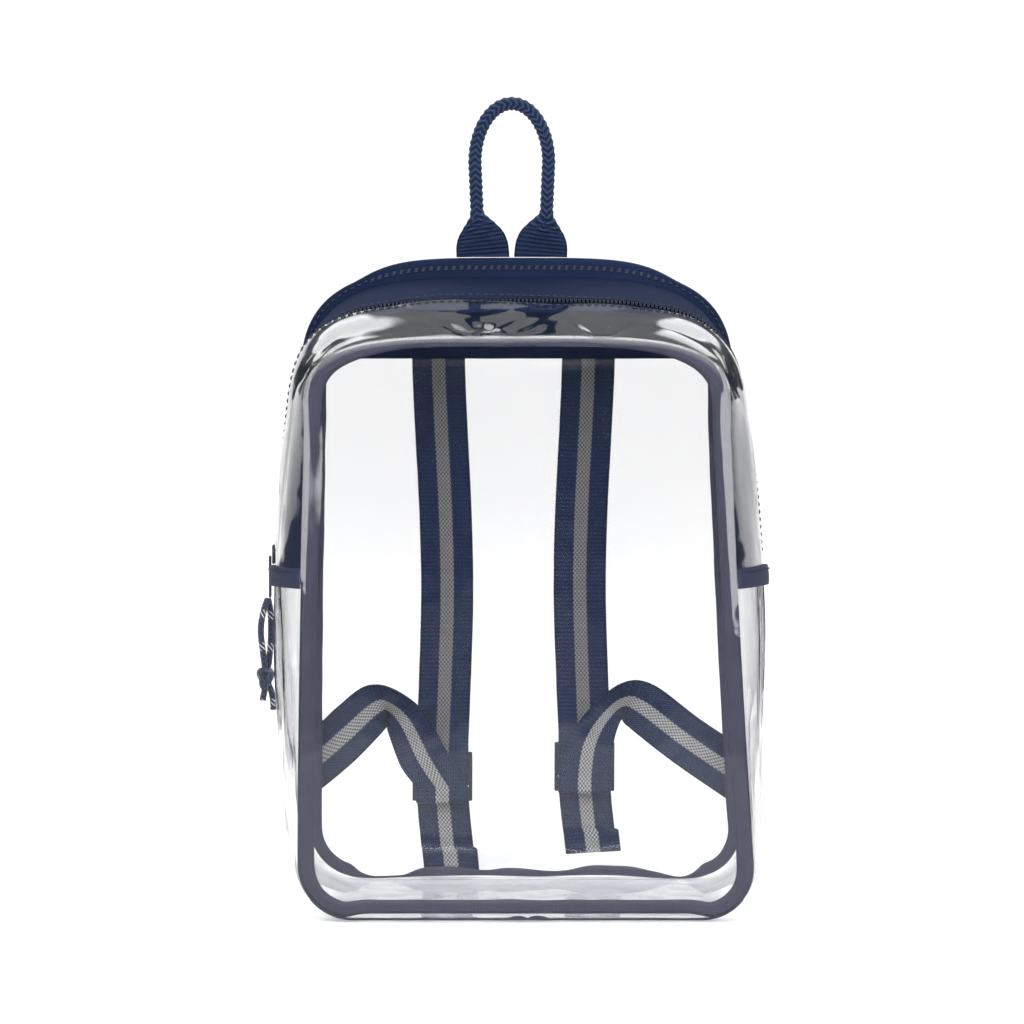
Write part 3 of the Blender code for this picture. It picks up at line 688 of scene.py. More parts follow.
def plain_weave():
    """Threads over and under each other: a height, which thread is on top, and a slow mottle."""
    def fill(graph, given, wanted):
        split = graph.node("ShaderNodeSeparateXYZ", {"Vector": given["Place"]})
        across = graph.math("MULTIPLY", split.outputs["X"], given["Across"])
        along = graph.math("MULTIPLY", split.outputs["Y"], given["Along"])
        warp = graph.math("SINE", graph.math("MULTIPLY", across, math.pi))
        weft = graph.math("SINE", graph.math("MULTIPLY", along, math.pi))
        crossing = graph.math("MULTIPLY", warp, weft)
        graph.feed(wanted["Height"], graph.math("ABSOLUTE", crossing))
        graph.feed(wanted["Top"], graph.ramp(crossing, -0.25, 0.25))
        mottle = graph.node("ShaderNodeTexNoise", {"Vector": given["Place"], "Scale": given["Mottle"]})
        graph.feed(wanted["Cloud"], mottle.outputs["Fac"])
    return group(
        "plain_weave",
        (("Place", "NodeSocketVector", None), ("Across", "NodeSocketFloat", 1000.0),
         ("Along", "NodeSocketFloat", 1000.0), ("Mottle", "NodeSocketFloat", 90.0)),
        (("Height", "NodeSocketFloat"), ("Top", "NodeSocketFloat"), ("Cloud", "NodeSocketFloat")),
        fill,
    )


def ribbed_weave():
    """Webbing: ribs across with a slanting thread in each, tilted into a V by the tuck."""
    def fill(graph, given, wanted):
        split = graph.node("ShaderNodeSeparateXYZ", {"Vector": given["Place"]})
        across = split.outputs["X"]
        slant = graph.math("MULTIPLY", graph.math("ABSOLUTE", across), given["Tuck"])
        along = graph.math("ADD", split.outputs["Y"], slant)
        rib = graph.math("SINE", graph.math("MULTIPLY", along, given["Ribs"]))
        lean = graph.math("ADD", graph.math("MULTIPLY", across, given["Threads"]),
                          graph.math("MULTIPLY", along, given["Ribs"]))
        thread = graph.math("SINE", lean)
        height = graph.math("ADD", graph.math("MULTIPLY", rib, 0.35),
                            graph.math("MULTIPLY", thread, 0.15))
        graph.feed(wanted["Height"], graph.math("ADD", height, 0.5))
        graph.feed(wanted["Rib"], graph.ramp(rib, -0.8, 0.8))
        graph.feed(wanted["Thread"], graph.ramp(thread, -0.5, 0.9))
    return group(
        "ribbed_weave",
        (("Place", "NodeSocketVector", None), ("Ribs", "NodeSocketFloat", 3500.0),
         ("Threads", "NodeSocketFloat", 6000.0), ("Tuck", "NodeSocketFloat", 0.0)),
        (("Height", "NodeSocketFloat"), ("Rib", "NodeSocketFloat"), ("Thread", "NodeSocketFloat")),
        fill,
    )


def lint():
    """Handling marks: a soft mask of slow patches."""
    def fill(graph, given, wanted):
        patches = graph.node("ShaderNodeTexNoise", {
            "Vector": given["Place"], "Scale": given["Patch Scale"], "Detail": 3.0,
        })
        graph.feed(wanted["Patches"], graph.ramp(patches.outputs["Fac"], 0.35, 0.65))
    return group(
        "lint",
        (("Place", "NodeSocketVector", None), ("Patch Scale", "NodeSocketFloat", 25.0)),
        (("Patches", "NodeSocketFloat"),),
        fill,
    )


def soft_band(graph, value, low, high, edge):
    """1 between low and high, with soft edges."""
    rise = graph.ramp(value, low - edge, low + edge)
    fall = graph.ramp(value, high - edge, high + edge, 1.0, 0.0)
    return graph.math("MULTIPLY", rise, fall)


GROUPS = {"plain_weave": plain_weave(), "ribbed_weave": ribbed_weave(), "lint": lint()}


def start_material(name):
    made = bpy.data.materials.new(name)
    made.use_nodes = True
    graph = Graph(made.node_tree)
    shader = made.node_tree.nodes["Principled BSDF"]
    return made, graph, shader


def place_group(graph, name, **values):
    made = graph.node("ShaderNodeGroup")
    made.node_tree = GROUPS[name]
    for key, value in values.items():
        graph.feed(made.inputs[key.replace("_", " ")], value)
    return made.outputs


def bump(graph, shader, height, distance, strength=1.0):
    made = graph.node("ShaderNodeBump", {"Height": height, "Distance": distance, "Strength": strength})
    graph.feed(shader.inputs["Normal"], made.outputs["Normal"])


def uv_place(graph):
    return graph.node("ShaderNodeUVMap", uv_map="UVMap").outputs["UV"]


def object_place(graph):
    return graph.node("ShaderNodeTexCoord").outputs["Object"]


NAVY = (0.0056, 0.0125, 0.041, 1.0)
NAVY_DARK = (0.0019, 0.0042, 0.0145, 1.0)
NAVY_LIGHT = (0.018, 0.036, 0.090, 1.0)
GREY_DARK = (0.055, 0.055, 0.058, 1.0)


def cloth_material(name, base, dark, light, across, along):
    """Plain woven cloth with threads of two tones and faint handling marks."""
    made, graph, shader = start_material(name)
    place = uv_place(graph)
    weave = place_group(graph, "plain_weave", Place=place, Across=across, Along=along)
    marks = place_group(graph, "lint", Place=object_place(graph))
    tone = graph.mix(weave["Top"], dark, light)
    tone = graph.mix(graph.ramp(weave["Cloud"], 0.3, 0.7, 0.35, 0.65), tone, base)
    tone = graph.mix(graph.math("MULTIPLY", marks["Patches"], 0.18), tone, light)
    graph.feed(shader.inputs["Base Color"], tone)
    graph.feed(shader.inputs["Roughness"], graph.ramp(weave["Height"], 0.0, 1.0, 0.85, 0.62))
    shader.inputs["Specular IOR Level"].default_value = 0.08
    bump(graph, shader, weave["Height"], 0.00015, 0.8)
    return made


def webbing_material(name, stripe_half, tuck_attribute=False, grey=(0.20, 0.195, 0.19, 1.0)):
    """Woven webbing with ribs, thicker selvedges and, if asked for, a grey stripe down its middle."""
    made, graph, shader = start_material(name)
    place = uv_place(graph)
    tuck = 0.0
    if tuck_attribute:
        neck = graph.node("ShaderNodeAttribute", attribute_name="neck").outputs["Fac"]
        tuck = graph.math("MULTIPLY", neck, 1.1)
    weave = place_group(graph, "ribbed_weave", Place=place, Ribs=3300.0, Threads=5200.0, Tuck=tuck)
    split = graph.node("ShaderNodeSeparateXYZ", {"Vector": place})
    off_middle = graph.math("ABSOLUTE", split.outputs["X"])
    cloud = graph.node("ShaderNodeTexNoise", {"Vector": place, "Scale": 160.0, "Detail": 3.0})
    # Painted shade and highlight: the colour follows the ribs' height, darker in the valleys between them
    # and paler on the crests of their slanting threads
    tone = graph.mix(weave["Rib"], NAVY_DARK, NAVY)
    tone = graph.mix(graph.math("MULTIPLY", weave["Thread"], 0.75), tone, NAVY_LIGHT)
    tone = graph.mix(graph.ramp(cloud.outputs["Fac"], 0.35, 0.7, 0.0, 0.25), tone, NAVY_DARK)
    if tuck_attribute:
        # Painted highlight: paler stripes on the crests of the neck's braid, in step with its bumps in the
        # mesh
        braid = graph.math("ADD", graph.math("MULTIPLY", split.outputs["Y"], 2100.0),
                           graph.math("MULTIPLY", off_middle, 520.0))
        braid = graph.math("MULTIPLY", neck, graph.ramp(graph.math("SINE", braid), 0.1, 0.9, 0.0, 0.6))
        tone = graph.mix(braid, tone, (0.050, 0.082, 0.165, 1.0))
    height = weave["Height"]
    if stripe_half:
        fine = place_group(graph, "plain_weave", Place=place, Across=1150.0, Along=900.0, Mottle=300.0)
        stripe_tone = graph.mix(fine["Top"], GREY_DARK, grey)
        worn = tuple(0.67 * part for part in grey[:3]) + (1.0,)
        stripe_tone = graph.mix(graph.ramp(fine["Cloud"], 0.3, 0.7, 0.0, 0.35), stripe_tone, worn)
        inside = graph.ramp(off_middle, stripe_half - 0.0003, stripe_half + 0.0003, 1.0, 0.0)
        tone = graph.mix(inside, tone, stripe_tone)
        height = graph.math("ADD", height, graph.math("MULTIPLY", inside, fine["Height"]))
    edge = graph.ramp(off_middle, SELVEDGE_INSIDE, SELVEDGE_OUTSIDE)
    tone = graph.mix(graph.math("MULTIPLY", edge, 0.45), tone, NAVY_DARK)
    graph.feed(shader.inputs["Base Color"], tone)
    shader.inputs["Roughness"].default_value = 0.62
    shader.inputs["Specular IOR Level"].default_value = 0.12
    bump(graph, shader, height, 0.00030, 0.9)
    return made


def binding_material(name, base, dark):
    """Grosgrain tape: fine ribs across its width, a little shiny."""
    made, graph, shader = start_material(name)
    place = uv_place(graph)
    weave = place_group(graph, "plain_weave", Place=place, Across=900.0, Along=1500.0, Mottle=60.0)
    marks = place_group(graph, "lint", Place=object_place(graph), Patch_Scale=45.0)
    # Painted shade: the tape is darker where its weave sinks between the threads
    tone = graph.mix(weave["Height"], dark, base)
    tone = graph.mix(graph.math("MULTIPLY", marks["Patches"], 0.3), tone, NAVY_DARK)
    graph.feed(shader.inputs["Base Color"], tone)
    graph.feed(shader.inputs["Roughness"], graph.ramp(weave["Cloud"], 0.3, 0.7, 0.5, 0.68))
    bump(graph, shader, weave["Height"], 0.00012, 0.7)
    return made


def vinyl_material():
    """Clear glossy vinyl that lets lamps through, with faint waves and scuffs in its gloss."""
    made, graph, shader = start_material("clear_vinyl")
    place = object_place(graph)
    waves = graph.node("ShaderNodeTexNoise", {"Vector": place, "Scale": 55.0, "Detail": 1.0})
    marks = place_group(graph, "lint", Place=place, Patch_Scale=18.0)
    tint = graph.mix(marks["Patches"], (0.962, 0.963, 0.968, 1.0), (0.950, 0.952, 0.958, 1.0))
    graph.feed(shader.inputs["Base Color"], tint)
    rough = graph.math("ADD", graph.math("MULTIPLY", marks["Patches"], 0.008), 0.008)
    graph.feed(shader.inputs["Roughness"], rough)
    shader.inputs["Transmission Weight"].default_value = 1.0
    shader.inputs["IOR"].default_value = 1.46
    bump(graph, shader, waves.outputs["Fac"], 0.0008, 0.25)
    open_way = graph.node("ShaderNodeBsdfTransparent", {"Color": (0.96, 0.965, 0.98, 1.0)})
    ray = graph.node("ShaderNodeLightPath")
    mixed = graph.node("ShaderNodeMixShader")
    graph.feed(mixed.inputs[0], ray.outputs["Is Shadow Ray"])
    graph.feed(mixed.inputs[1], shader.outputs[0])
    graph.feed(mixed.inputs[2], open_way.outputs[0])
    end = made.node_tree.nodes["Material Output"]
    graph.feed(end.inputs["Surface"], mixed.outputs[0])
    return made


def thread_material(name, colour, dark):
    """Twisted sewing thread."""
    made, graph, shader = start_material(name)
    place = object_place(graph)
    twist = graph.node("ShaderNodeTexNoise", {"Vector": place, "Scale": 1600.0, "Detail": 2.0})
    graph.feed(shader.inputs["Base Color"], graph.mix(twist.outputs["Fac"], dark, colour))
    shader.inputs["Roughness"].default_value = 0.55
    bump(graph, shader, twist.outputs["Fac"], 0.0002, 0.6)
    return made


def plastic_material(name, base, light, roughness):
    """Moulded plastic with a fine grain and paler rubbed patches."""
    made, graph, shader = start_material(name)
    place = object_place(graph)
    grain = graph.node("ShaderNodeTexNoise", {"Vector": place, "Scale": 1400.0, "Detail": 3.0})
    marks = place_group(graph, "lint", Place=place, Patch_Scale=120.0)
    graph.feed(shader.inputs["Base Color"], graph.mix(marks["Patches"], base, light))
    low, high = roughness
    graph.feed(shader.inputs["Roughness"], graph.ramp(grain.outputs["Fac"], 0.3, 0.7, low, high))
    shader.inputs["Specular IOR Level"].default_value = 0.2
    bump(graph, shader, grain.outputs["Fac"], 0.00005, 0.5)
    return made


def metal_material():
    """Dark painted metal, worn brighter where the noise stands highest."""
    made, graph, shader = start_material("painted_slider")
    place = object_place(graph)
    wear = graph.node("ShaderNodeTexNoise", {"Vector": place, "Scale": 900.0, "Detail": 4.0})
    worn = graph.ramp(wear.outputs["Fac"], 0.62, 0.70)
    paint = (0.012, 0.014, 0.022, 1.0)
    graph.feed(shader.inputs["Base Color"], graph.mix(worn, paint, (0.25, 0.25, 0.27, 1.0)))
    graph.feed(shader.inputs["Metallic"], worn)
    graph.feed(shader.inputs["Roughness"], graph.ramp(wear.outputs["Fac"], 0.3, 0.7, 0.42, 0.3))
    bump(graph, shader, wear.outputs["Fac"], 0.00005, 0.4)
    return made


def cord_material():
    """Braided cord: crossing strands that wind both ways, with pale flecks in a few of them."""
    made, graph, shader = start_material("braided_cord")
    place = uv_place(graph)
    split = graph.node("ShaderNodeSeparateXYZ", {"Vector": place})
    around = graph.math("MULTIPLY", split.outputs["X"], 2 * math.pi * 4)
    along = graph.math("MULTIPLY", split.outputs["Y"], 2600.0)
    left = graph.math("SINE", graph.math("ADD", along, around))
    right = graph.math("SINE", graph.math("SUBTRACT", along, around))
    height = graph.math("MAXIMUM", left, right)
    # Painted shade: the cord is darker in the grooves between its strands
    tone = graph.mix(graph.ramp(height, -0.2, 1.0), NAVY_DARK, NAVY)
    tone = graph.mix(graph.ramp(left, 0.6, 1.0, 0.0, 0.5), tone, NAVY_LIGHT)
    slow = graph.math("SUBTRACT", graph.math("MULTIPLY", split.outputs["Y"], math.pi / FLECK_PITCH),
                      FLECK_SHIFT)
    cluster = graph.ramp(graph.math("ABSOLUTE", graph.math("SINE", slow)), 0.90, 0.95)
    fleck = graph.math("MULTIPLY", cluster, graph.ramp(left, 0.35, 0.75))
    tone = graph.mix(graph.math("MULTIPLY", fleck, 0.85), tone, (0.45, 0.46, 0.50, 1.0))
    graph.feed(shader.inputs["Base Color"], tone)
    shader.inputs["Roughness"].default_value = 0.7
    shader.inputs["Sheen Weight"].default_value = 0.2
    bump(graph, shader, height, 0.0003, 0.8)
    return made


def floor_material():
    """Matte white board. Rays after a glossy bounce see it painted near black beside a long white band: a
    painted dark reflection.
    """
    made, graph, shader = start_material("white_board")
    place = object_place(graph)
    mottle = graph.node("ShaderNodeTexNoise", {"Vector": place, "Scale": 3.0})
    tone = graph.mix(mottle.outputs["Fac"], (0.76, 0.76, 0.76, 1.0), (0.78, 0.78, 0.78, 1.0))
    split = graph.node("ShaderNodeSeparateXYZ", {"Vector": place})
    # The long band, and the floor far behind, that stay white in the painted reflection
    white_in_reflection = soft_band(graph, split.outputs["X"], -REFLECTED_WHITE_HALF, REFLECTED_WHITE_HALF, 0.015)
    white_in_reflection = graph.math("MAXIMUM", white_in_reflection, graph.ramp(split.outputs["Y"], 1.40, 1.50))
    ahead = graph.ramp(split.outputs["Y"], -0.56, -0.50, 0.0, 0.25)
    behind = graph.ramp(split.outputs["Y"], -0.05, 0.05, 0.0, 0.75)
    white_in_reflection = graph.math("MULTIPLY", white_in_reflection, graph.math("ADD", ahead, behind))
    # Painted reflection: for rays after a glossy bounce the floor is painted near black outside that band
    mirrored = graph.math("MINIMUM", graph.node("ShaderNodeLightPath").outputs["Glossy Depth"], 1.0)
    dark = graph.math("MULTIPLY", mirrored, graph.math("SUBTRACT", 1.0, white_in_reflection))
    graph.feed(shader.inputs["Base Color"], graph.mix(dark, tone, (0.05, 0.05, 0.055, 1.0)))
    shader.inputs["Roughness"].default_value = 0.9
    shader.inputs["Specular IOR Level"].default_value = 0.1
    return made


LOOKS = {
    "vinyl": vinyl_material(),
    "cloth": cloth_material("navy_cloth", (0.0044, 0.0094, 0.031, 1.0), (0.0013, 0.0027, 0.010, 1.0),
                            (0.016, 0.030, 0.074, 1.0), 2600.0, 2600.0),
    "flange": cloth_material("flange_cloth", (0.0062, 0.0130, 0.041, 1.0), (0.0018, 0.0038, 0.014, 1.0),
                             (0.021, 0.038, 0.092, 1.0), 2400.0, 2400.0),
    "tape": cloth_material("zip_tape", (0.008, 0.014, 0.042, 1.0), NAVY_DARK, NAVY, 1600.0, 1300.0),
    "binding": binding_material("seam_binding", (0.026, 0.028, 0.058, 1.0), (0.010, 0.011, 0.026, 1.0)),
    "band": binding_material("band_binding", (0.026, 0.032, 0.082, 1.0), (0.009, 0.012, 0.036, 1.0)),
    "webbing": webbing_material("navy_webbing", 0.0, tuck_attribute=True),
    "striped": webbing_material("striped_webbing", STRIPE_HALF),
    "pale_striped": webbing_material("pale_striped_webbing", STRIPE_HALF, grey=(0.38, 0.375, 0.36, 1.0)),
    "thread": thread_material("navy_thread", (0.015, 0.027, 0.072, 1.0), (0.002, 0.004, 0.012, 1.0)),
    "coil": plastic_material("zip_coil", (0.004, 0.005, 0.010, 1.0), (0.012, 0.014, 0.024, 1.0),
                             (0.30, 0.42)),
    "buckle": plastic_material("buckle_plastic", (0.010, 0.013, 0.028, 1.0),
                               (0.020, 0.024, 0.046, 1.0), (0.32, 0.48)),
    "metal": metal_material(),
    "cord": cord_material(),
    "floor": floor_material(),
}


# Vinyl and cloth sheets

def front_wave(x, z):
    """The front panel's slow waves, the roll along its top and a ridge down each side."""
    slow = noise.noise(Vector((x * 11, 2.0, z * 8)))
    fine = noise.noise(Vector((x * 30, 5.0, z * 22)))
    low = outline_top(FRONT, x - settle(z)) - z
    uneven = 1 + 0.35 * noise.noise(Vector((x * 26, 1.0, 4.0)))
    roll = -TOP_ROLL * math.exp(-(low / TOP_ROLL_REACH) ** 2) * uneven
    ridges = 0.0
    for ridge in RIDGES:
        off = x - ridge.middle - ridge.lean * (z - ridge.level)
        full = ridge.faint + (1 - ridge.faint) * smooth(ridge.faint_below, ridge.full_above, z)
        ridges += ridge.height * math.exp(-(off / ridge.width) ** 2) * full
    side = ridges * smooth(0.262, 0.235, z) * smooth(0.012, 0.03, z)
    return 0.0009 * slow + 0.0004 * fine + roll + side


def outline_top(outline, across):
    """The height of an outline's top over a distance from its middle line."""
    share = min(abs(across) / outline.side_half, 1.0)
    rise = (1 - share ** outline.power) ** (1 / outline.power)
    return SIDE_TOP + (outline.height - SIDE_TOP) * rise


def back_wave(x, z):
    return 0.0008 * noise.noise(Vector((x * 12, 9.0, z * 9)))


def still(_x, _z):
    return 0.0


def clear_sheets():
    vinyl = LOOKS["vinyl"]
    near = BAG_DEPTH / 2 + GAP
    crowned_sheet("front_sheet", boundary_of(FRONT), -near, -1, FRONT_CROWN, VINYL_SHOWN,
                  vinyl, ("front_panel",), front_wave)
    crowned_sheet("back_sheet", boundary_of(BACK, YOKE_BOTTOM - GAP), near, 1, BACK_CROWN,
                  VINYL_SHOWN, vinyl, ("back_panel",), back_wave)
    joint = side_share(BAND_HEIGHT)
    gusset_sheet("lower_gusset_sheet", spread(-joint, joint, 300), spread(0, 1, 40), 0.0,
                 VINYL_SHOWN, vinyl, ("lower_gusset",), GUSSET_DENTS)
    edge = STRIP_EDGE / BAG_DEPTH
    start = side_share(BAND_HEIGHT + GAP)
    gusset_sheet("front_strip_sheet", arch_shares(start, 150), spread(0, ZIP_ACROSS - edge, 26), 0.0,
                 VINYL_SHOWN, vinyl, ("front_gusset_strip",), STRIP_DENTS)


def cloth_sheets():
    edge = STRIP_EDGE / BAG_DEPTH
    start = side_share(BAND_HEIGHT + GAP)
    gusset_sheet("back_strip_cloth", arch_shares(start, 110), spread(ZIP_ACROSS + edge, 1, 22), 0.0,
                 FABRIC, LOOKS["cloth"], ("back_gusset_strip",), roll=False)
    near = BAG_DEPTH / 2 + GAP
    crowned_sheet("yoke_cloth", boundary_of(BACK, YOKE_BOTTOM, False), near, 1, 0.0, FABRIC,
                  LOOKS["cloth"], ("back_yoke",), still)
    half_tape = ZIP_TAPE_WIDTH / 2 / BAG_DEPTH
    gusset_sheet("zip_tape_cloth", arch_shares(start, 110),
                 spread(ZIP_ACROSS - half_tape, ZIP_ACROSS + half_tape, 12), FABRIC + LAP_GAP, TAPE,
                 LOOKS["tape"], ("zipper_tape",), roll=False)


# Bindings and bands

def tape_ring(name, outline, inset, wide, near, far, replaced, lift, narrowing, rucks,
              top_narrowing=0.0):
    """A folded tape round a seam inside the bag, a little wavy, its edges rounded.

    Along the foot it is lifted, narrowed and rucked, and over the top it may be narrower too.
    """
    profile = (
        (0.0, 0.25), (0.0, 0.75), (0.04, 1.0), (0.30, 0.96), (0.62, 1.0), (0.95, 0.92), (1.0, 0.7),
        (1.0, 0.3), (0.95, 0.06), (0.62, 0.0), (0.30, 0.04), (0.04, 0.0),
    )
    shape = bmesh.new()
    layer = shape.loops.layers.uv.new("UVMap")
    rings = []
    along = 0.0
    before = None
    places = {}
    for k in range(TAPE_STEPS):
        share = -1 + 2 * k / TAPE_STEPS
        x, z = outline_point(outline, share, -inset)
        here = Vector((x, z))
        along += (here - before).length if before else 0.0
        before = here
        sway = 0.0004 * noise.noise(Vector((x * 60, near * 40, z * 60)))
        foot = smooth(FLOOR_END + 0.03, FLOOR_END - 0.02, abs(share))
        ruck = smooth(-0.25, 0.30, noise.noise(Vector((x * 26 + 0.4, 3.0, 1.0))))
        top = smooth(0.76, 0.90, abs(share))
        shrink = 1 - foot * (narrowing + rucks * ruck) - top * top_narrowing
        rise = foot * (lift + rucks * 0.004 * noise.noise(Vector((x * 19, 7.0, 2.0))))
        ring = []
        for across, depth in profile:
            px, pz = outline_point(outline, share, -inset - rise - across * (wide + sway) * shrink)
            vertex = shape.verts.new((px, near + (far - near) * depth, pz))
            places[vertex] = (across * wide, along)
            ring.append(vertex)
        rings.append(ring)
    for k in range(TAPE_STEPS):
        join_rings(shape, rings[k], rings[(k + 1) % TAPE_STEPS])
    lay_map(shape, layer, places)
    return new_piece(name, shape, LOOKS["binding"], replaced, TAPE_FOLD)


def bindings():
    half = BAG_DEPTH / 2
    taper = (BACK_HEIGHT - FRONT_HEIGHT) / BAG_DEPTH * BINDING_THICKNESS
    tape_ring("front_seam_tape", FRONT, VINYL + LAP_GAP, BINDING_WIDTH, -half, -half + BINDING_THICKNESS,
              ("front_binding",), lift=0.0026, narrowing=0.14, rucks=0.0, top_narrowing=0.52)
    foot_fold()
    tape_ring("back_seam_tape", BACK, FABRIC + LAP_GAP * 1.5 + taper, BACK_BINDING_WIDTH, half,
              half - BINDING_THICKNESS, ("back_binding",), lift=0.0002, narrowing=0.18, rucks=0.66)


def foot_fold():
    """The other half of the front tape, which peeps out as a ragged dark line below the foot's band."""
    half = BAG_DEPTH / 2 + GAP
    places = spread(-0.30, 0.30, 260)
    outer = []
    inner = []
    for level in (0.0, 0.5, 1.0):
        row = []
        for share in places:
            x = outline_point(FRONT, share)[0]
            ragged = 0.0005 + 0.0010 * abs(noise.noise(Vector((x * 95, 4.0, 8.0)))) ** 0.6
            ragged *= 1 + 0.9 * math.exp(-(x / 0.014) ** 2)
            row.append(outline_point(FRONT, share, -0.0010 - ragged * level))
        outer.append([Vector((x, -half + 0.00004, z)) for x, z in row])
        inner.append([Vector((x, -half + 0.00026, z)) for x, z in row])
    grid = [[(x, level) for x in places] for level in (0.0, 0.5, 1.0)]
    sheet_between(outer, inner, grid, "front_seam_fold", LOOKS["binding"])


def bands():
    """The folded tapes that cross the sides where the zipped arch meets the lower gusset."""
    for side, word in ((-1, "left"), (1, "right")):
        low = side_share(BAND_HEIGHT - BAND_WIDTH / 2)
        high = side_share(BAND_HEIGHT + BAND_WIDTH / 2)
        outer = []
        inner = []
        places = []
        rows = 14
        for r in range(rows + 1):
            share = side * (low + (high - low) * r / rows)
            puff = 0.0004 * math.sin(math.pi * r / rows) ** 0.5
            crease = 0.0005 * math.exp(-((r / rows - 0.80) / 0.05) ** 2)
            outer.append([
                gusset_point(share, v, seam_roll(v) - GAP - FABRIC - puff + crease)
                for v in spread(0, 1, 60)
            ])
            inner.append([gusset_point(share, v, seam_roll(v) - GAP) for v in spread(0, 1, 60)])
            places.append([(BAND_WIDTH * r / rows, v * BAG_DEPTH) for v in spread(0, 1, 60)])
        sheet_between(outer, inner, places, f"band_{word}", LOOKS["band"],
                      (f"gusset_band_{word}",))


def flange_width(height):
    """The flange is full over the top, about half as wide at the shoulders, and narrower at its ends."""
    side = smooth(FLANGE_FOOT, BACK_HEIGHT - SHOULDER_DROP, height)
    top = smooth(BACK_HEIGHT - SHOULDER_DROP * 0.6, BACK_HEIGHT, height)
    return FLANGE_WIDTH * (0.35 + 0.20 * side + 0.45 * top)


def flange_y():
    return BAG_DEPTH / 2 + GAP + FLANGE_THICKNESS / 2


def flange():
    """The stitched edge round the top of the back, plumper between its fold and its stitches."""
    profile = (
        (-0.13, -0.85), (0.15, -1.0), (0.45, -0.90), (0.55, -0.80), (0.65, -0.92), (0.88, -1.0),
        (0.97, -0.7), (1.0, 0.0), (0.97, 0.7), (0.88, 1.0), (0.65, 0.92), (0.55, 0.80),
        (0.45, 0.90), (0.15, 1.0), (0.0, 0.85), (-0.13, 0.0),
    )
    shape = bmesh.new()
    layer = shape.loops.layers.uv.new("UVMap")
    places = {}
    rings = []
    along = 0.0
    before = None
    for share in arch_shares(side_share(FLANGE_FOOT), 130):
        x, z = outline_point(BACK, share)
        here = Vector((x, z))
        along += (here - before).length if before else 0.0
        before = here
        ripple = 1 + 0.05 * noise.noise(Vector((x * 90, 0.0, z * 90)))
        ring = []
        for out, depth in profile:
            px, pz = outline_point(BACK, share, GAP + flange_width(z) * out)
            vertex = shape.verts.new((px, flange_y() + depth * ripple * FLANGE_THICKNESS / 2, pz))
            places[vertex] = (out * FLANGE_WIDTH, along)
            ring.append(vertex)
        rings.append(ring)
    skin(shape, rings)
    lay_map(shape, layer, places)
    new_piece("flange_cloth", shape, LOOKS["flange"], ("top_flange",), TAPE_FOLD)


# Webbing

WEB_PROFILE = (
    [(a, 1.0) for a in spread(-0.94, 0.94, 14)] + [(0.985, 0.7), (1.0, 0.0), (0.985, -0.7)]
    + [(a, -1.0) for a in spread(0.94, -0.94, 14)] + [(-0.985, -0.7), (-1.0, 0.0), (-0.985, 0.7)]
)


def webbing(name, path, look, replaced):
    """A strap along a path of (centre, width vector, thickness), with ribbed selvedges."""
    shape = bmesh.new()
    layer = shape.loops.layers.uv.new("UVMap")
    places = {}
    rings = []
    along = 0.0
    for k, (centre, width, thickness) in enumerate(path):
        ahead = path[min(k + 1, len(path) - 1)][0]
        behind = path[max(k - 1, 0)][0]
        along += (centre - path[k - 1][0]).length if k else 0.0
        normal = (ahead - behind).cross(width).normalized() * (thickness / 2)
        ripple = 1 + 0.006 * math.sin(along * 4200)
        ring = []
        for across, depth in WEB_PROFILE:
            swell = 1 + 0.05 * noise.noise(Vector((across * 4, along * 90, 0.0)))
            point = centre + width * (across * ripple / 2) + normal * (depth * swell)
            vertex = shape.verts.new(point)
            places[vertex] = (across * STRAP_WIDTH / 2, along)
            ring.append(vertex)
        rings.append(ring)
    skin(shape, rings)
    lay_map(shape, layer, places)
    return new_piece(name, shape, look, replaced, TAPE_FOLD)


def finer(points, longest=0.0008):
    """Add points along a path of (centre, width, thickness), so that none are further apart."""
    result = []
    for here, after in zip(points, points[1:]):
        steps = max(1, math.ceil((after[0] - here[0]).length / longest))
        for step in range(steps):
            share = step / steps
            result.append((
                here[0].lerp(after[0], share), here[1].lerp(after[1], share),
                here[2] + (after[2] - here[2]) * share,
            ))
    return result + [points[-1]]


def strap_x(side, spread_share=1.0):
    return STRAP_SHIFT + side.sign * STRAP_SPACING / 2 * spread_share


def buckle_y():
    return BAG_DEPTH / 2 + BUCKLE_STANDOFF


def bar_offset():
    return BUCKLE_THICKNESS / 2 + BUCKLE_CLEARANCE + WEBBING / 2


def buckle_height():
    return 3 * BUCKLE_BAR + 2 * BUCKLE_SLOT


def arc_points(x, middle_y, middle_z, radius, start, end, steps):
    points = []
    for step in range(steps + 1):
        turn = math.radians(start + (end - start) * step / steps)
        points.append(Vector((x, middle_y + radius * math.cos(turn), middle_z + radius * math.sin(turn))))
    return points


def shoulder_path(side):
    rest = BAG_DEPTH / 2 + GAP * 2 + FABRIC + WEBBING / 2
    top_bar = side.buckle_height + buckle_height() / 2 - BUCKLE_BAR
    low = top_bar + BUCKLE_BAR
    near = buckle_y() - bar_offset()
    rows = []
    for row in STRAP_ROWS:
        z = YOKE_BOTTOM + (low - YOKE_BOTTOM) * row.drop
        rows.append((strap_x(side, row.spread), rest + STRAP_BOW * row.bow, z))
    rows.append((strap_x(side), near, low + BUCKLE_BAR))
    x = strap_x(side)
    points = [Vector((rows[0][0], rest, YOKE_BOTTOM + STRAP_LAP))]
    points += [Vector(point) for point in catmull(rows, 12)]
    points += arc_points(x, buckle_y(), side.buckle_height - BUCKLE_BAR * 0.3, bar_offset(), 180, 360, 18)
    points.append(Vector((x, buckle_y() + bar_offset(), low + STRAP_RETURN)))
    width = Vector((STRAP_WIDTH, 0, 0))
    return finer([(point, width, WEBBING) for point in points])


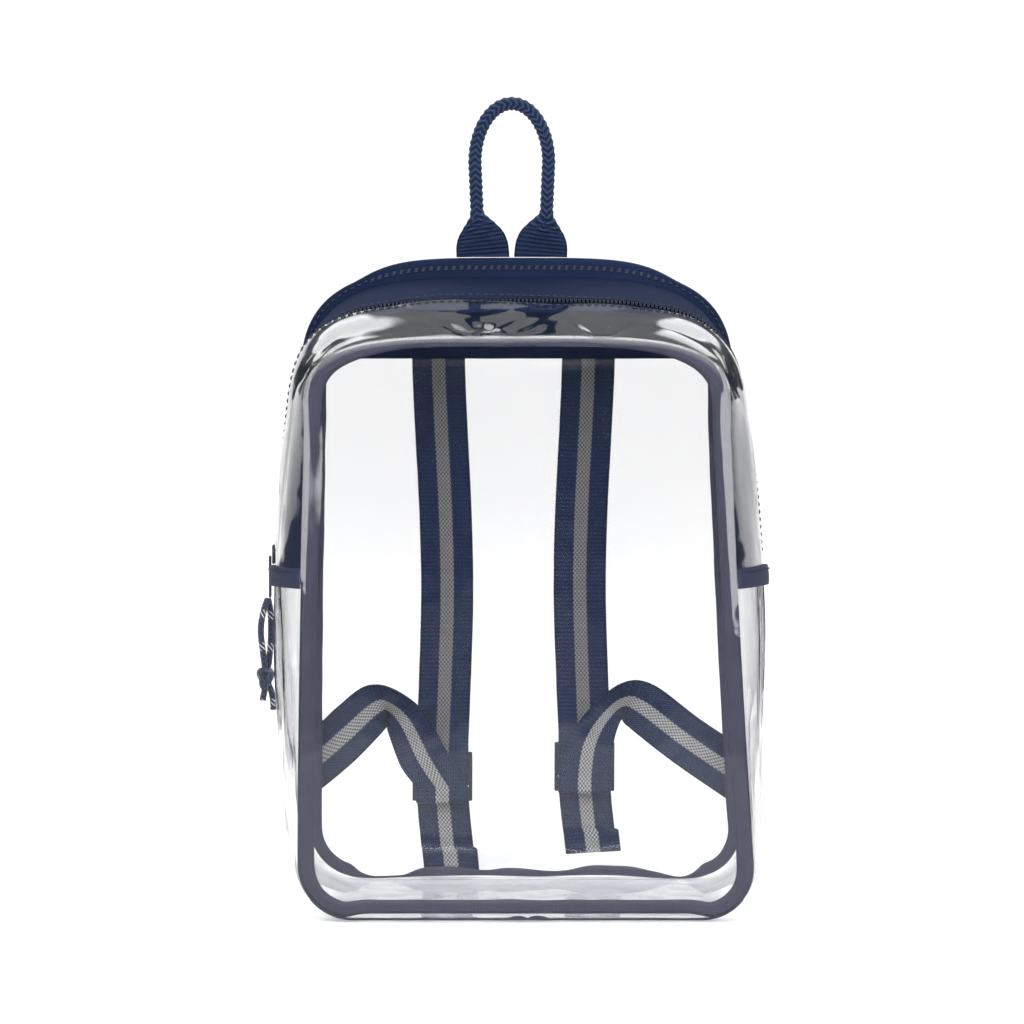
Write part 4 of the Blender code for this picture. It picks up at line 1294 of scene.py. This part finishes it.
def lower_path(side):
    anchor_x = side.sign * (FOOT_HALF_WIDTH - FOOT_CORNER * 0.12)
    buckle_x = strap_x(side)
    bottom = side.buckle_height - buckle_height() / 2
    near = buckle_y() - bar_offset()
    leg = near - 2 * FOLD_RADIUS
    plane = BAG_DEPTH / 2 + GAP * 2 + VINYL + WEBBING / 2
    rows = []
    for row in side.loop:
        x = anchor_x + (buckle_x - anchor_x) * row.along
        in_x = -side.sign * row.width_in
        rows.append((x, plane + LOOP_DEPTH * row.out, side.anchor_height + side.loop_rise * row.rise,
                     in_x, row.width_back, row.width_up))
    fold_z = bottom + BUCKLE_BAR * 0.4
    rows.append((buckle_x, leg, fold_z + BUCKLE_BAR * 1.5, -side.sign, 0.0, 0.0))
    path = []
    for x, y, z, in_x, back, up in catmull(rows, 12):
        path.append((Vector((x, y, z)), Vector((in_x, back, up)) * STRAP_WIDTH, WEBBING))
    width = Vector((-side.sign * STRAP_WIDTH, 0, 0))
    fold = arc_points(buckle_x, near - FOLD_RADIUS, fold_z, FOLD_RADIUS, 180, 360, 14)
    over = arc_points(buckle_x, buckle_y(), bottom + BUCKLE_BAR * 0.8, bar_offset(), 180, 0, 18)
    path += [(point, width, WEBBING) for point in fold + over]
    path += tail(side, Vector((buckle_x, buckle_y() + bar_offset(), bottom)), width)
    return finer(path)


def tail(side, top, width):
    """The free end below the buckle, its last stretch folded double into a hem."""
    drift = Vector((side.tail_drift, 0, 0))
    end = Vector((top.x, top.y, side.tail_end)) + drift
    hem = HEM_LENGTH / (top.z - side.tail_end)
    shift = Vector((HEM_SHIFT, 0, 0))
    skew = Vector((0, 0, math.copysign(HEM_SKEW, width.x)))
    rows = [(top.lerp(end, share), width, WEBBING) for share in (0.25, 1 - hem - 0.03)]
    for step in range(1, HEM_STEPS + 1):
        share = 1 - hem + hem * step / HEM_STEPS
        groove = 0.25 * math.cos(math.pi * 2 * step / 4) if step < HEM_STEPS else -0.5
        wide = width * 1.06 + skew * (1 if side.sign > 0 else 0.4)
        rows.append((top.lerp(end, share) + shift, wide, WEBBING * (2.1 + groove)))
    return rows


def straps():
    for side in SIDES:
        webbing(f"shoulder_webbing_{side.name}", shoulder_path(side), LOOKS["striped"],
                (f"shoulder_strap_{side.name}",))
        webbing(f"lower_webbing_{side.name}", lower_path(side), LOOKS["pale_striped"],
                (f"lower_strap_{side.name}",))


def handle_route():
    """The loop's way from foot to foot, in rows of how far out, how far up, width and depth."""
    spring = HANDLE_RISE * HANDLE_SPRING
    neck = HANDLE_RISE * 0.27
    foot_x = (HANDLE_FOOT_WIDTH + HANDLE_FOOT_GAP) / 2
    rows = []
    for share, width, depth in catmull(HANDLE_FOOT_ROWS, 8):
        out = foot_x + (HANDLE_HALF_SPAN * 0.94 - foot_x) * share ** 1.5
        wide = HANDLE_NECK_WIDTH + (HANDLE_FOOT_WIDTH - HANDLE_NECK_WIDTH) * width
        deep = HANDLE_NECK_DEPTH + (WEBBING - HANDLE_NECK_DEPTH) * depth
        rows.append((out, neck * share, wide, deep))
    for share in spread(0.1, 0.9, 12):
        out = HANDLE_HALF_SPAN * (0.94 + 0.06 * share)
        rows.append((out, neck + (spring - neck) * share, HANDLE_NECK_WIDTH, HANDLE_NECK_DEPTH))
    for step in range(25):
        turn = math.pi / 2 * step / 24
        rows.append((
            HANDLE_HALF_SPAN * math.cos(turn), spring + (HANDLE_RISE - spring) * math.sin(turn),
            HANDLE_NECK_WIDTH, HANDLE_NECK_DEPTH,
        ))
    loop = [(-out, up, wide, deep) for out, up, wide, deep in rows] + list(reversed(rows[:-1]))
    return catmull(loop, 4)


def handle():
    """The haul loop: flat ribbed feet that fold into a narrow stitched neck."""
    fine = handle_route()
    base = BACK_HEIGHT + FLANGE_WIDTH + GAP * 2
    shape = bmesh.new()
    layer = shape.loops.layers.uv.new("UVMap")
    tucked = shape.verts.layers.float.new("neck")
    places = {}
    rings = []
    along_way = 0.0
    for k, (out, up, wide, deep) in enumerate(fine):
        ahead = fine[min(k + 1, len(fine) - 1)]
        behind = fine[max(k - 1, 0)]
        along = Vector((ahead[0] - behind[0], 0, ahead[1] - behind[1])).normalized()
        if k in (0, len(fine) - 1):
            along = Vector((0, 0, 1 if k == 0 else -1))
        across = along.cross(Vector((0, 1, 0)))
        centre = Vector((HANDLE_CENTRE + out, flange_y(), base + up))
        if k:
            along_way += math.hypot(out - behind[0], up - behind[1])
        flatness = (wide - HANDLE_NECK_WIDTH) / (HANDLE_FOOT_WIDTH - HANDLE_NECK_WIDTH)
        rib = RIB_HEIGHT * math.sin(along_way * 2 * math.pi / RIB_PITCH) * min(flatness * 1.5, 1.0)
        ring = []
        for step in range(HANDLE_SIDES):
            turn = 2 * math.pi * (step + 0.5) / HANDLE_SIDES
            cos, sin = math.cos(turn), math.sin(turn)
            round_x = math.copysign(abs(cos) ** 0.7, cos)
            round_y = math.copysign(abs(sin) ** 0.7, sin)
            braid = BRAID_HEIGHT * (1 - flatness) * math.sin(
                along_way * 2 * math.pi / BRAID_PITCH + BRAID_SLANT * abs(round_x)
            )
            point = centre + across * (round_x * (wide / 2 + braid))
            point.y += round_y * (deep / 2 + rib + braid)
            vertex = shape.verts.new(point)
            vertex[tucked] = 1 - flatness
            places[vertex] = (round_x * HANDLE_FOOT_WIDTH / 2, along_way)
            ring.append(vertex)
        rings.append(ring)
    skin(shape, rings)
    lay_map(shape, layer, places)
    new_piece("haul_loop", shape, LOOKS["webbing"], ("carry_handle",), CORD_FOLD)


# Buckles, zipper and cord

def ladder_lock(side):
    """A three-bar buckle: a bevelled plate with two slots cut through it."""
    x = strap_x(side)
    bottom = side.buckle_height - buckle_height() / 2
    half_width = STRAP_WIDTH / 2 + BUCKLE_CLEARANCE + BUCKLE_RAIL
    size = (2 * half_width, BUCKLE_THICKNESS, buckle_height())
    deselect_all()
    bpy.ops.mesh.primitive_cube_add(
        size=1.0, location=(x, buckle_y(), side.buckle_height), scale=size
    )
    frame_piece = bpy.context.object
    frame_piece.name = f"buckle_{side.name}"
    bpy.ops.object.transform_apply(location=True, rotation=True, scale=True)
    for index in range(2):
        apart = size[2] - 2 * BUCKLE_BAR - SLOT_SHOWN
        slot_middle = bottom + BUCKLE_BAR + SLOT_SHOWN / 2 + index * apart
        deselect_all()
        bpy.ops.mesh.primitive_cube_add(
            size=1.0, location=(x, buckle_y(), slot_middle),
            scale=(STRAP_WIDTH, BUCKLE_THICKNESS * 2, SLOT_SHOWN),
        )
        cutter = bpy.context.object
        bpy.ops.object.transform_apply(location=True, rotation=True, scale=True)
        activate(frame_piece)
        cut = frame_piece.modifiers.new("slot", "BOOLEAN")
        cut.object = cutter
        cut.operation = "DIFFERENCE"
        bpy.ops.object.modifier_apply(modifier=cut.name)
        bpy.data.objects.remove(cutter)
    edge = frame_piece.modifiers.new("rounded edges", "BEVEL")
    edge.width = 0.0006
    edge.segments = 3
    bpy.ops.object.modifier_apply(modifier=edge.name)
    bpy.ops.object.shade_smooth_by_angle(angle=math.radians(40))
    dress(frame_piece, LOOKS["buckle"], (f"ladder_lock_{side.name}",))


def coil_teeth():
    """The zipper's coil: small loops that cross the gap, leaning to one side and the other."""
    shape = bmesh.new()
    shares = arch_shares(side_share(BAND_HEIGHT + BAND_WIDTH / 2 + LAP_GAP), 400)
    under = FABRIC + LAP_GAP
    lift = under - GAP - COIL_HEIGHT
    path = [gusset_point(share, ZIP_ACROSS, lift + COIL_HEIGHT / 2) for share in shares]
    covered = 0.0
    due = 0.0
    count = 0
    for here, after in zip(path, path[1:]):
        step = (after - here).length
        while due <= covered + step:
            middle = here.lerp(after, (due - covered) / step)
            add_tooth(shape, middle, (after - here).normalized(), count)
            due += COIL_PITCH
            count += 1
        covered += step
    new_piece("coil_loops", shape, LOOKS["coil"], ("zipper_coil",), TAPE_FOLD)


def add_tooth(shape, middle, along, count):
    """One loop of the coil: a short arched bar that leans along the zipper."""
    lean = TOOTH_LEAN if count % 2 else -TOOTH_LEAN
    back = Vector((0, 1, 0))
    out = back.cross(along).normalized()
    if out.dot(Vector((middle.x, 0, middle.z - 0.15))) < 0:
        out = -out
    rings = []
    for share, arch in ((-1.0, -0.5), (-0.85, 0.25), (-0.4, 0.62), (0.4, 0.62), (0.85, 0.25), (1.0, -0.5)):
        centre = middle + back * (share * COIL_WIDTH * 0.34) + along * (lean * share)
        centre += out * (arch * COIL_HEIGHT * 0.5)
        ring = []
        for corner_along, corner_out in ((-1, -1), (1, -1), (1, 1), (-1, 1)):
            corner = along * (corner_along * TOOTH_HALF_WIDTH)
            ring.append(shape.verts.new(centre + corner + out * (corner_out * TOOTH_HALF_DEPTH)))
        rings.append(ring)
    skin(shape, rings)


def slider_frame():
    """The slider's middle on the gusset, and the directions up the zipper and out of the bag."""
    height = BAND_HEIGHT + BAND_WIDTH / 2 + SLIDER_LENGTH * 0.55
    share = -side_share(height)
    step = share_of(SLIDER_LENGTH / 2)
    above = gusset_point(share - step, ZIP_ACROSS)
    below = gusset_point(share + step, ZIP_ACROSS)
    up = Vector((above.x - below.x, 0, above.z - below.z)).normalized()
    return gusset_point(share, ZIP_ACROSS), up, Vector((-up.z, 0, up.x))


def cord_point(place):
    """The point at a distance out of the bag, backwards and down from the end of the pull."""
    middle, up, _out = slider_frame()
    end = middle - up * (SLIDER_LENGTH / 2 + PULL_LENGTH)
    out, back, down = place
    return Vector((end.x - out, end.y + back, end.z - down))


def upright_block(name, middle, size, narrowing, width):
    """A rounded block whose ends are narrowed to (lower, upper) shares."""
    deselect_all()
    bpy.ops.mesh.primitive_cube_add(size=1.0, location=middle, scale=size)
    item = bpy.context.object
    item.name = name
    bpy.ops.object.transform_apply(location=True, rotation=True, scale=True)
    for sign, share in zip((-1, 1), narrowing):
        taper_end(item, middle.z + sign * size[2] / 2, share)
    round_off(item, width)
    return item


def zip_slider():
    """The slider's body and its pull tab, standing on the coil above the left band."""
    middle, up, out = slider_frame()
    near = FABRIC + GAP * 2
    thick = SLIDER_HEIGHT * 0.6
    place = middle + out * (COIL_HEIGHT + GAP * 2 - FABRIC - LAP_GAP + thick / 2)
    body = upright_block("slider_body", place, (thick, SLIDER_WIDTH, SLIDER_LENGTH),
                         (0.82, 0.62), 0.0007)
    dress(body, LOOKS["metal"], ("zip_slider",))
    length = PULL_LENGTH + SLIDER_LENGTH * 0.4
    place = middle - up * (SLIDER_LENGTH * 0.1 + length / 2) + out * (near + GAP + PULL_THICKNESS / 2)
    tab = upright_block("pull_tab", place, (PULL_THICKNESS, PULL_WIDTH, length), (1.0, 0.7), 0.00045)
    dress(tab, LOOKS["metal"])


def taper_end(item, height, share):
    """Narrow the faces of an upright block at one height."""
    activate(item)
    bpy.ops.object.mode_set(mode="EDIT")
    shape = bmesh.from_edit_mesh(item.data)
    middle = sum(vertex.co.y for vertex in shape.verts) / len(shape.verts)
    for vertex in shape.verts:
        if abs(vertex.co.z - height) < 1e-5:
            vertex.co.y = middle + (vertex.co.y - middle) * share
    bmesh.update_edit_mesh(item.data)
    bpy.ops.object.mode_set(mode="OBJECT")


def round_off(item, width):
    activate(item)
    edge = item.modifiers.new("rounded edges", "BEVEL")
    edge.width = width
    edge.segments = 4
    bpy.ops.object.modifier_apply(modifier=edge.name)
    bpy.ops.object.shade_smooth_by_angle(angle=math.radians(40))


def tube(points, radius, sides=16, frayed=False):
    """A round tube through points, its UV map turns round it and metres along it."""
    shape = bmesh.new()
    layer = shape.loops.layers.uv.new("UVMap")
    rings = []
    way = [0.0]
    side = None
    for k, point in enumerate(points):
        if k:
            way.append(way[-1] + (point - points[k - 1]).length)
        along = (points[min(k + 1, len(points) - 1)] - points[max(k - 1, 0)]).normalized()
        side = along.orthogonal() if side is None else side - along * side.dot(along)
        side.normalize()
        other = along.cross(side)
        ring = []
        for step in range(sides):
            turn = 2 * math.pi * step / sides
            swell = 1.0
            if frayed and k >= len(points) - 2:
                swell = 1.06 + 0.08 * math.sin(5 * turn)
            ring.append(shape.verts.new(
                point + (side * math.cos(turn) + other * math.sin(turn)) * radius * swell
            ))
        rings.append(ring)
    for k, (ring, after) in enumerate(zip(rings, rings[1:])):
        for step in range(sides):
            step_after = (step + 1) % sides
            face = shape.faces.new((ring[step], ring[step_after], after[step_after], after[step]))
            corners = ((step, k), (step + 1, k), (step + 1, k + 1), (step, k + 1))
            for loop, (turn, index) in zip(face.loops, corners):
                loop[layer].uv = (turn / sides, way[index])
    for ring in (rings[0], rings[-1]):
        shape.faces.new(ring)
    return shape


def knot_route():
    """The middle line of an overhand knot drawn tight, taller than it is wide."""
    middle = cord_point(KNOT_PLACE)
    points = []
    for step in range(KNOT_STEPS + 1):
        turn = 2 * math.pi * step / KNOT_STEPS
        x = math.sin(turn) + 2 * math.sin(2 * turn)
        y = math.cos(turn) - 2 * math.cos(2 * turn)
        z = -math.sin(3 * turn)
        points.append(middle + Vector((
            x / 3 * (KNOT_WIDTH - CORD_DIAMETER) / 2,
            z * (KNOT_WIDTH - CORD_DIAMETER) / 2.6,
            y / 3 * (KNOT_HEIGHT - CORD_DIAMETER) / 2,
        )))
    return points


def cord_pieces():
    look = LOOKS["cord"]
    radius = CORD_DIAMETER / 2
    knot = new_piece("cord_knot", tube(knot_route(), radius * 1.15), look, ("zip_knot",),
                     CORD_FOLD)
    middle = cord_point(KNOT_PLACE)
    ends = []
    for name, route, node in (
        ("cut_end_short", END_SHORT, "cord_end_short"), ("cut_end_long", END_LONG, "cord_end_long"),
    ):
        rows = [cord_point(place) for place in route]
        rows.insert(0, rows[0].lerp(middle, 0.40))
        points = [Vector(point) for point in catmull(rows, 5)]
        shape = tube(points, radius, frayed=True)
        ends.append(new_piece(name, shape, look, (node,), CORD_FOLD))
    for name, route, node, others in (
        ("pull_strand_front", STRAND_FRONT, "zip_cord_front", [knot, *ends]),
        ("pull_strand_back", STRAND_BACK, "zip_cord_back", []),
    ):
        rows = [cord_point(place) for place in route]
        rows.append(rows[-1].lerp(middle, 0.40))
        points = [Vector(point) for point in catmull(rows, 5)]
        strand = new_piece(name, tube(points, radius), look, (node,), CORD_FOLD)


# Stitching

def stitch_row(shape, points, normals, length=0.0026, gap=0.0010, thick=STITCH_THICK):
    """Separate stitches along a line that lies on a surface."""
    way = [0.0]
    for here, after in zip(points, points[1:]):
        way.append(way[-1] + (after - here).length)
    start = gap
    index = 0
    while start + length < way[-1]:
        ends = []
        for place in (start, start + length / 2, start + length):
            while way[index + 1] < place:
                index += 1
            share = (place - way[index]) / (way[index + 1] - way[index])
            ends.append((
                points[index].lerp(points[index + 1], share),
                normals[index].lerp(normals[index + 1], share).normalized(),
            ))
        index = max(index - 3, 0)
        add_stitch(shape, ends, thick)
        start += length + gap


def add_stitch(shape, ends, thick):
    along = (ends[2][0] - ends[0][0]).normalized()
    rings = []
    for (point, normal), swell, lift in zip(ends, (0.45, 1.0, 0.45), (0.0, 0.9, 0.0)):
        side = along.cross(normal).normalized()
        centre = point + normal * (thick * lift)
        ring = []
        for step in range(6):
            turn = math.pi * 2 * step / 6
            offset = side * math.cos(turn) + normal * math.sin(turn)
            ring.append(shape.verts.new(centre + offset * (thick * swell)))
        rings.append(ring)
    skin(shape, rings)


def flange_stitches():
    shape = bmesh.new()
    shares = arch_shares(side_share(FLANGE_FOOT + 0.006), 120)
    middle = arch_shares(0.84, 60)
    rows = ((-1, shares, 0.55), (1, shares, 0.55), (-1, middle, 0.40), (-1, middle, 0.47))
    for facing, places, out in rows:
        points = []
        for share in places:
            z = outline_point(BACK, share)[1]
            x, up = outline_point(BACK, share, GAP + flange_width(z) * out)
            points.append(Vector((x, flange_y() + facing * FLANGE_THICKNESS * 0.44, up)))
        stitch_row(shape, points, [Vector((0, facing, 0))] * len(points), thick=0.00048)
    new_piece("flange_stitches", shape, LOOKS["thread"])


def strip_stitches():
    """The rows that hold the vinyl and the cloth to the zipper tape."""
    shape = bmesh.new()
    edge = (STRIP_EDGE + 0.0022) / BAG_DEPTH
    shares = arch_shares(side_share(BAND_HEIGHT + BAND_WIDTH), 200)
    for across in (ZIP_ACROSS - edge, ZIP_ACROSS + edge):
        dents = STRIP_DENTS if across < ZIP_ACROSS else ()
        points = []
        normals = []
        for share in shares:
            sink = seam_roll(across) + dent_depth(dents, share, across)
            point = gusset_point(share, across, sink - 0.00005)
            points.append(point)
            normals.append((gusset_point(share, across, sink - 0.001) - point).normalized())
        stitch_row(shape, points, normals)
    new_piece("strip_stitches", shape, LOOKS["thread"])


def back_stitches():
    """Seam rows on the yoke, the boxes where the straps lap it, and the straps' own bar rows."""
    shape = bmesh.new()
    back = Vector((0, 1, 0))
    surface = BAG_DEPTH / 2 + GAP + FABRIC + 0.0012
    half = outline_half_width(BACK, YOKE_BOTTOM) - 0.004
    middle = settle(YOKE_BOTTOM)
    row = [Vector((x, surface, YOKE_BOTTOM + 0.003)) for x in spread(middle - half, middle + half, 60)]
    stitch_row(shape, row, [back] * len(row))
    on_strap = BAG_DEPTH / 2 + GAP * 2 + FABRIC + WEBBING + 0.0001
    for side in SIDES:
        x = strap_x(side, STRAP_ROWS[0].spread)
        wide = STRAP_WIDTH / 2 - 0.003
        low = YOKE_BOTTOM + 0.002
        high = YOKE_BOTTOM + STRAP_LAP - 0.002
        corners = [
            Vector((x - wide, on_strap, low)), Vector((x + wide, on_strap, low)),
            Vector((x + wide, on_strap, high)), Vector((x - wide, on_strap, high)),
        ]
        box = list(zip(corners, corners[1:] + corners[:1]))
        cross = [(corners[0], corners[2]), (corners[1], corners[3])]
        for here, after in box + cross:
            line = [here.lerp(after, share) for share in spread(0, 1, 12)]
            stitch_row(shape, line, [back] * len(line), length=0.0022, gap=0.0006)
        bar_y = buckle_y() + bar_offset() + WEBBING / 2 + 0.0001
        bar_x = strap_x(side)
        bar_z = side.buckle_height + buckle_height() / 2 + STRAP_RETURN - 0.006
        for lift in (0.0, 0.0022):
            line = [Vector((t, bar_y, bar_z + lift)) for t in spread(bar_x - wide, bar_x + wide, 30)]
            stitch_row(shape, line, [back] * len(line), length=0.0018, gap=0.0004)
    new_piece("back_stitches", shape, LOOKS["thread"])


def band_stitches():
    shape = bmesh.new()
    for side in (-1, 1):
        share = side * side_share(BAND_HEIGHT + BAND_WIDTH * 0.30)
        points = []
        normals = []
        for across in spread(0.03, 0.97, 80):
            point = gusset_point(share, across, seam_roll(across) - GAP - FABRIC - 0.0003)
            points.append(point)
            normals.append((gusset_point(share, across, -0.01) - gusset_point(share, across)).normalized())
        stitch_row(shape, points, normals)
    new_piece("band_stitches", shape, LOOKS["thread"])


# Floor, light and camera

def stage():
    deselect_all()
    bpy.ops.mesh.primitive_plane_add(size=FLOOR_SIZE, location=FLOOR_PLACE)
    floor = bpy.context.object
    floor.name = "white_floor"
    bpy.ops.object.transform_apply(location=True, rotation=True, scale=True)
    floor.data.materials.append(LOOKS["floor"])


def studio_world():
    """White for what is seen straight and for cloth; a dark room with pale panels for reflections."""
    world = bpy.data.worlds.new("studio")
    bpy.context.scene.world = world
    world.use_nodes = True
    graph = Graph(world.node_tree)
    background = world.node_tree.nodes["Background"]
    direction = graph.node("ShaderNodeTexCoord").outputs["Generated"]
    split = graph.node("ShaderNodeSeparateXYZ", {"Vector": direction})
    away = graph.math("ABSOLUTE", split.outputs["X"])
    low = graph.ramp(split.outputs["Z"], 0.16, 0.22, 1.0, 0.0)
    wall = graph.math("MULTIPLY", graph.ramp(split.outputs["Y"], 0.93, 0.955), low)
    side_strips = graph.math("MULTIPLY", soft_band(graph, away, 0.60, 0.68, 0.01),
                             soft_band(graph, split.outputs["Z"], -0.40, 0.50, 0.04))
    over = graph.math("MULTIPLY", soft_band(graph, away, 0.13, 0.46, 0.015),
                      soft_band(graph, split.outputs["Z"], 0.34, 0.62, 0.015))
    over = graph.math("MULTIPLY", over, graph.ramp(split.outputs["Y"], 0.20, 0.40, 0.0, OVER_STRENGTH))
    over = graph.math("ADD", over, graph.ramp(split.outputs["Z"], 0.15, 0.95, 0.02, 0.70))
    roof = soft_band(graph, split.outputs["Z"], 0.84, 0.97, 0.02)
    front = graph.ramp(split.outputs["Y"], -0.70, -0.60, 1.0, 0.0)
    high_front = graph.math("MULTIPLY", graph.ramp(split.outputs["Z"], 0.10, 0.52), FRONT_STRENGTH)
    side_front = graph.math("MULTIPLY", soft_band(graph, away, 0.40, 0.75, 0.02), FRONT_STRENGTH)
    front = graph.math("MULTIPLY", front, graph.math("MAXIMUM", high_front, side_front))
    lamps = graph.math("MAXIMUM", graph.math("MAXIMUM", side_strips, over), roof)
    lamps = graph.math("MAXIMUM", lamps, front)
    room = graph.math("ADD", graph.math("MAXIMUM", wall, lamps), 0.02)
    ray = graph.node("ShaderNodeLightPath")
    straight = graph.math("MAXIMUM", ray.outputs["Is Camera Ray"], ray.outputs["Is Diffuse Ray"])
    strength = graph.node("ShaderNodeMix", data_type="FLOAT")
    graph.feed(strength.inputs["Factor"], straight)
    graph.feed(strength.inputs["A"], room)
    graph.feed(strength.inputs["B"], WHITE_STRENGTH)
    background.inputs["Color"].default_value = (1.0, 1.0, 1.0, 1.0)
    graph.feed(background.inputs["Strength"], strength.outputs["Result"])


def lights():
    for lamp in LAMPS:
        light = bpy.data.lights.new(lamp.name, "AREA")
        light.shape = "RECTANGLE"
        light.size, light.size_y = lamp.size
        light.energy = lamp.power
        item = bpy.data.objects.new(lamp.name, light)
        bpy.context.collection.objects.link(item)
        item.location = lamp.place
        item.rotation_euler = (Vector(lamp.aim) - Vector(lamp.place)).to_track_quat("-Z", "Y").to_euler()


def camera():
    rise = math.radians(CAMERA_RISE)
    made = bpy.data.cameras.new("view")
    made.lens = CAMERA_LENS
    made.sensor_width = SENSOR_WIDTH
    item = bpy.data.objects.new("view", made)
    bpy.context.collection.objects.link(item)
    offset = Vector((0, -math.cos(rise), math.sin(rise))) * CAMERA_DISTANCE
    item.location = CAMERA_AIM + offset
    item.rotation_euler = (math.pi / 2 - rise, 0, 0)
    bpy.context.scene.camera = item


def main():
    camera()
    cord_pieces()
    clear_sheets()
    cloth_sheets()
    bindings()
    bands()
    flange()
    straps()
    handle()
    for side in SIDES:
        ladder_lock(side)
    coil_teeth()
    zip_slider()
    flange_stitches()
    strip_stitches()
    back_stitches()
    band_stitches()
    stage()
    studio_world()
    lights()
    scene = bpy.context.scene
    scene.view_settings.view_transform = "Standard"


main()
